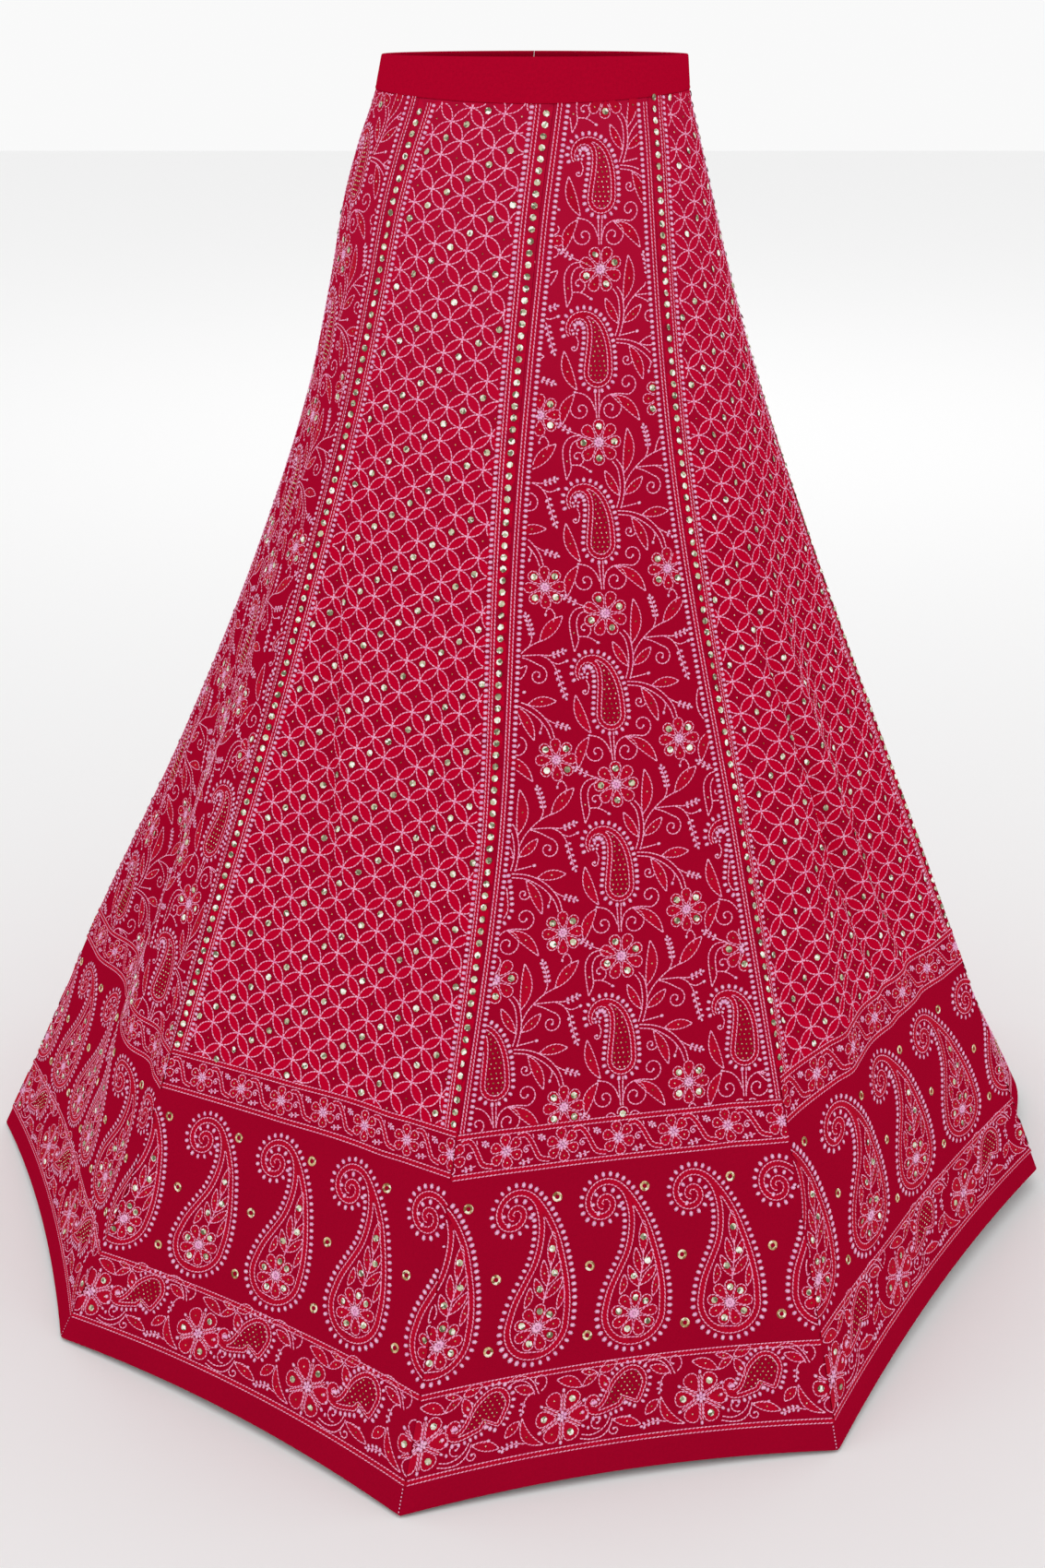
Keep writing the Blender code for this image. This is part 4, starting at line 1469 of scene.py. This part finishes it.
    def build(self, materials: dict) -> int:
        """Args:
            materials: shared finishes by name.

        Returns:
            How many triangles they add.
        """
        face = KaliFace(self.form, self.number)
        cloth = self.shell(face)
        body = (self.bands.narrow_top, face.body_top)
        cloth.data.materials.append(KaliCloth().material(
            self.node + "_crimson", self.style, Lattice(), self.body_stretch, self.phase, body))
        layers = self.layers(face)
        grains = self.grains
        embroidery = self.join("_thread", [grains.stitches(*self.laid(face, layers, 0))],
                               materials["thread"], False)
        knots = self.join("_knots", [grains.knots(*self.laid(face, layers, 1))], materials["knot"], True)
        petals = self.join("_petals", [grains.plates(*self.laid(face, layers, 5))],
                           materials["petal"], False)
        sequins, sequin_normals = self.laid(face, layers, 2)
        dots, dot_normals = self.laid(face, layers, 4)
        rings, ring_normals = self.laid(face, layers, 3)
        bright = self.join("_sequins", [
            grains.discs(sequins[:, 0], sequin_normals, grains.sequin, 1.3, grains.sequin_sides, 0.12),
        ], materials["sequin"], False)
        gold = self.join("_gold", [
            grains.discs(dots[:, 0], dot_normals, grains.dot, 0.9, 4, 0.05),
            grains.hoops(rings[:, 0], ring_normals, grains.ring),
        ], materials["gold"], False)
        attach(cloth, "root")
        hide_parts(self.node)
        pieces = [embroidery, knots, petals, bright, gold]
        slots = ("embroidery_thread", "embroidery_thread", "kali_cloth", "sequin_metal", "sequin_metal")
        for piece, slot in zip(pieces, slots):
            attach(piece, "root")
        counts = [triangle_count(piece) for piece in (cloth, *pieces)]
        LOG.info("%s: cloth %d, stitches %d, knots %d, petals %d, sequins %d, gold %d triangles",
                 self.node, *counts)
        return sum(counts)

    def join(self, ending: str, bodies: list, material: bpy.types.Material,
             smooth_faces: bool) -> bpy.types.Object:
        """One piece from several lists of points and triangles."""
        points, faces, count = [], [], 0
        for body_points, body_faces in bodies:
            points.append(body_points)
            faces.append(body_faces + count)
            count += len(body_points)
        piece = make_mesh(self.node + ending, np.concatenate(points), np.concatenate(faces), smooth_faces)
        piece.data.materials.append(material)
        return piece


def triangle_count(piece: bpy.types.Object) -> int:
    """How many triangles a piece's mesh makes."""
    sides = np.empty(len(piece.data.polygons), dtype=np.int32)
    piece.data.polygons.foreach_get("loop_total", sides)
    return int((sides - 2).sum())


@dataclass
class Waistband:
    """The plain band round the waist, folded double, its ends meeting at the back seam."""

    form: SkirtForm
    per_kali: int = 24
    rows: int = 14

    def build(self) -> int:
        """Makes the band a wall round the oval, with rounded top and bottom edges and a stitched ditch.

        Returns:
            How many triangles it adds.
        """
        form = self.form
        opening = form.kalis - 2
        place = opening + np.linspace(0.0, form.kalis, self.per_kali * form.kalis + 1)
        left = np.minimum(np.floor(place), opening + form.kalis - 1).astype(int)
        waist = np.array(form.seam_drops[0])
        starts = np.array([form.seam_bearing(index, waist) for index in left])
        ends = np.array([form.seam_bearing(index + 1, waist) for index in left])
        bearing = starts + (ends - starts) * (place - left)
        half_gap = 0.5 * form.seam_gap / form.profile[0][1]
        bearing[0] += half_gap
        bearing[-1] -= half_gap
        part = (0.5 - 0.5 * np.cos(np.linspace(0.0, math.pi, self.rows + 1)))[:, None]
        drop = form.band_depth(bearing) * part
        bearing = np.broadcast_to(bearing, drop.shape)
        level = form.oval_point(bearing, drop, 1.0)
        base = np.concatenate([level, -drop[..., None]], axis=-1)
        normals = unit(np.cross(np.gradient(base, axis=0), np.gradient(base, axis=1)))
        rounding = np.clip(np.minimum(part, 1 - part) / 0.06, 0.0, 1.0)
        proud = (form.band_wall - form.wall) * np.sqrt(1 - (1 - rounding) ** 2)
        ditch = 0.0008 * np.exp(-((part - 0.86) / 0.03) ** 2)
        outer = base + normals * (proud - ditch)[..., None]
        inner = base - normals * (form.wall * np.sqrt(1 - (1 - rounding) ** 2) + 0.0001)[..., None]
        along = np.concatenate([[0.0], np.cumsum(np.linalg.norm(np.diff(base[0], axis=0), axis=-1))])
        uv = np.stack([np.broadcast_to(along, drop.shape), -drop], axis=-1).reshape(-1, 2)
        points = np.concatenate([outer.reshape(-1, 3), inner.reshape(-1, 3)])
        band = make_mesh("waistband_cloth", points, wall_faces(*drop.shape), True, np.concatenate([uv, uv]))
        band.data.materials.append(BandCloth().material())
        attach(band, "root")
        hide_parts("waistband")
        count = triangle_count(band)
        LOG.info("waistband: %d triangles", count)
        return count


@dataclass
class Studio:
    """Pale floor, soft light and the photograph's camera."""

    floor_drop: float = 0.9875
    camera_place: tuple = (-0.009818, -1.734328, 0.039598)
    tilt: float = 20.7
    focal_pixels: float = 2250.0
    image_height: float = 1700.0
    sensor: float = 36.0

    def build(self) -> None:
        """Makes the floor, the lights and the camera."""
        size = 14.0
        corners = np.array([[-size, -size], [size, -size], [size, size], [-size, size]])
        points = np.concatenate([corners, np.full((4, 1), -self.floor_drop)], axis=1)
        floor = make_mesh("floor", points, np.array([[0, 1, 2, 3]]), False)
        finish = Finish("floor_white", 0.9, Specular_IOR_Level=0.1)
        finish.shader.inputs["Base Color"].default_value = (0.92, 0.92, 0.92, 1.0)
        floor.data.materials.append(finish.material)
        bpy.context.scene.view_settings.view_transform = "Standard"
        world = bpy.data.worlds.new("studio")
        bpy.context.scene.world = world
        world.use_nodes = True
        background = world.node_tree.nodes["Background"]
        background.inputs["Color"].default_value = (1.0, 1.0, 1.0, 1.0)
        background.inputs["Strength"].default_value = 0.95
        self.light("key", (-0.7, -3.4, 1.5), (0.0, 0.0, -0.5), 2.2, 64.0)
        self.light("fill", (2.6, -2.2, 0.8), (0.0, 0.0, -0.5), 2.0, 5.0)
        self.light("back", (0.3, 3.0, 2.2), (0.0, 0.0, -0.4), 2.4, 20.0)
        data = bpy.data.cameras.new("camera")
        data.sensor_width = self.sensor
        data.lens = self.sensor * self.focal_pixels / self.image_height
        camera = bpy.data.objects.new("camera", data)
        camera.location = self.camera_place
        camera.rotation_euler = (math.radians(90.0 - self.tilt), 0.0, 0.0)
        bpy.context.scene.collection.objects.link(camera)
        bpy.context.scene.camera = camera

    def light(self, name: str, place: tuple, target: tuple, size: float, power: float) -> None:
        """One square area light turned to a target."""
        data = bpy.data.lights.new(name, "AREA")
        data.size = size
        data.energy = power
        lamp = bpy.data.objects.new(name, data)
        lamp.location = place
        way = np.array(target) - np.array(place)
        heading = math.atan2(way[0], -way[1])
        tip = math.atan2(math.hypot(way[0], way[1]), -way[2])
        lamp.rotation_euler = (tip, 0.0, heading)
        bpy.context.scene.collection.objects.link(lamp)


def main() -> None:
    """Builds the studio, the waistband and the eight kalis."""
    logging.basicConfig(level=logging.INFO, format="%(name)s: %(message)s")
    form = SkirtForm()
    Studio().build()
    materials = {
        "thread": Soft("thread_pink", shade(255, 186, 216), shade(242, 146, 190), 300.0).material(),
        "knot": Soft("knot_pink", shade(255, 200, 230), shade(246, 172, 216), 260.0).material(),
        "petal": Soft("petal_crimson", shade(186, 2, 41), shade(172, 3, 39), 90.0).material(),
        # each metal: a dark painted reflection, its own colour, and a painted glint, mixed in cells in its
        # base colour
        "sequin": Metal("sequin_silver_gold", shade(112, 110, 84), shade(206, 200, 168),
                        shade(255, 255, 246),
                        0.25).material(),
        "gold": Metal("dot_gold", shade(140, 106, 66), shade(222, 192, 144),
                      shade(255, 248, 226), 0.3).material(),
    }
    total = Waistband(form).build()
    cuts = (
        # hem width, slant length, area
        (0.373, 1.040, 0.2223),
        (0.360, 1.047, 0.2215),
        (0.336, 1.047, 0.1945),
        (0.448, 1.037, 0.2523),
        (0.389, 1.047, 0.2371),
        (0.401, 1.047, 0.2290),
        (0.396, 1.038, 0.2313),
        (0.391, 1.040, 0.2278),
    )
    for number, (width, length, area) in enumerate(cuts, start=1):
        style = Style.FLORAL if number % 2 else Style.LATTICE
        stretch = 1.25 if number == 4 else 1.0
        total += Kali(form, number, style, stretch, (width, length), area).build(materials)
    LOG.info("in all %d triangles", total)


if __name__ == "__main__":
    main()
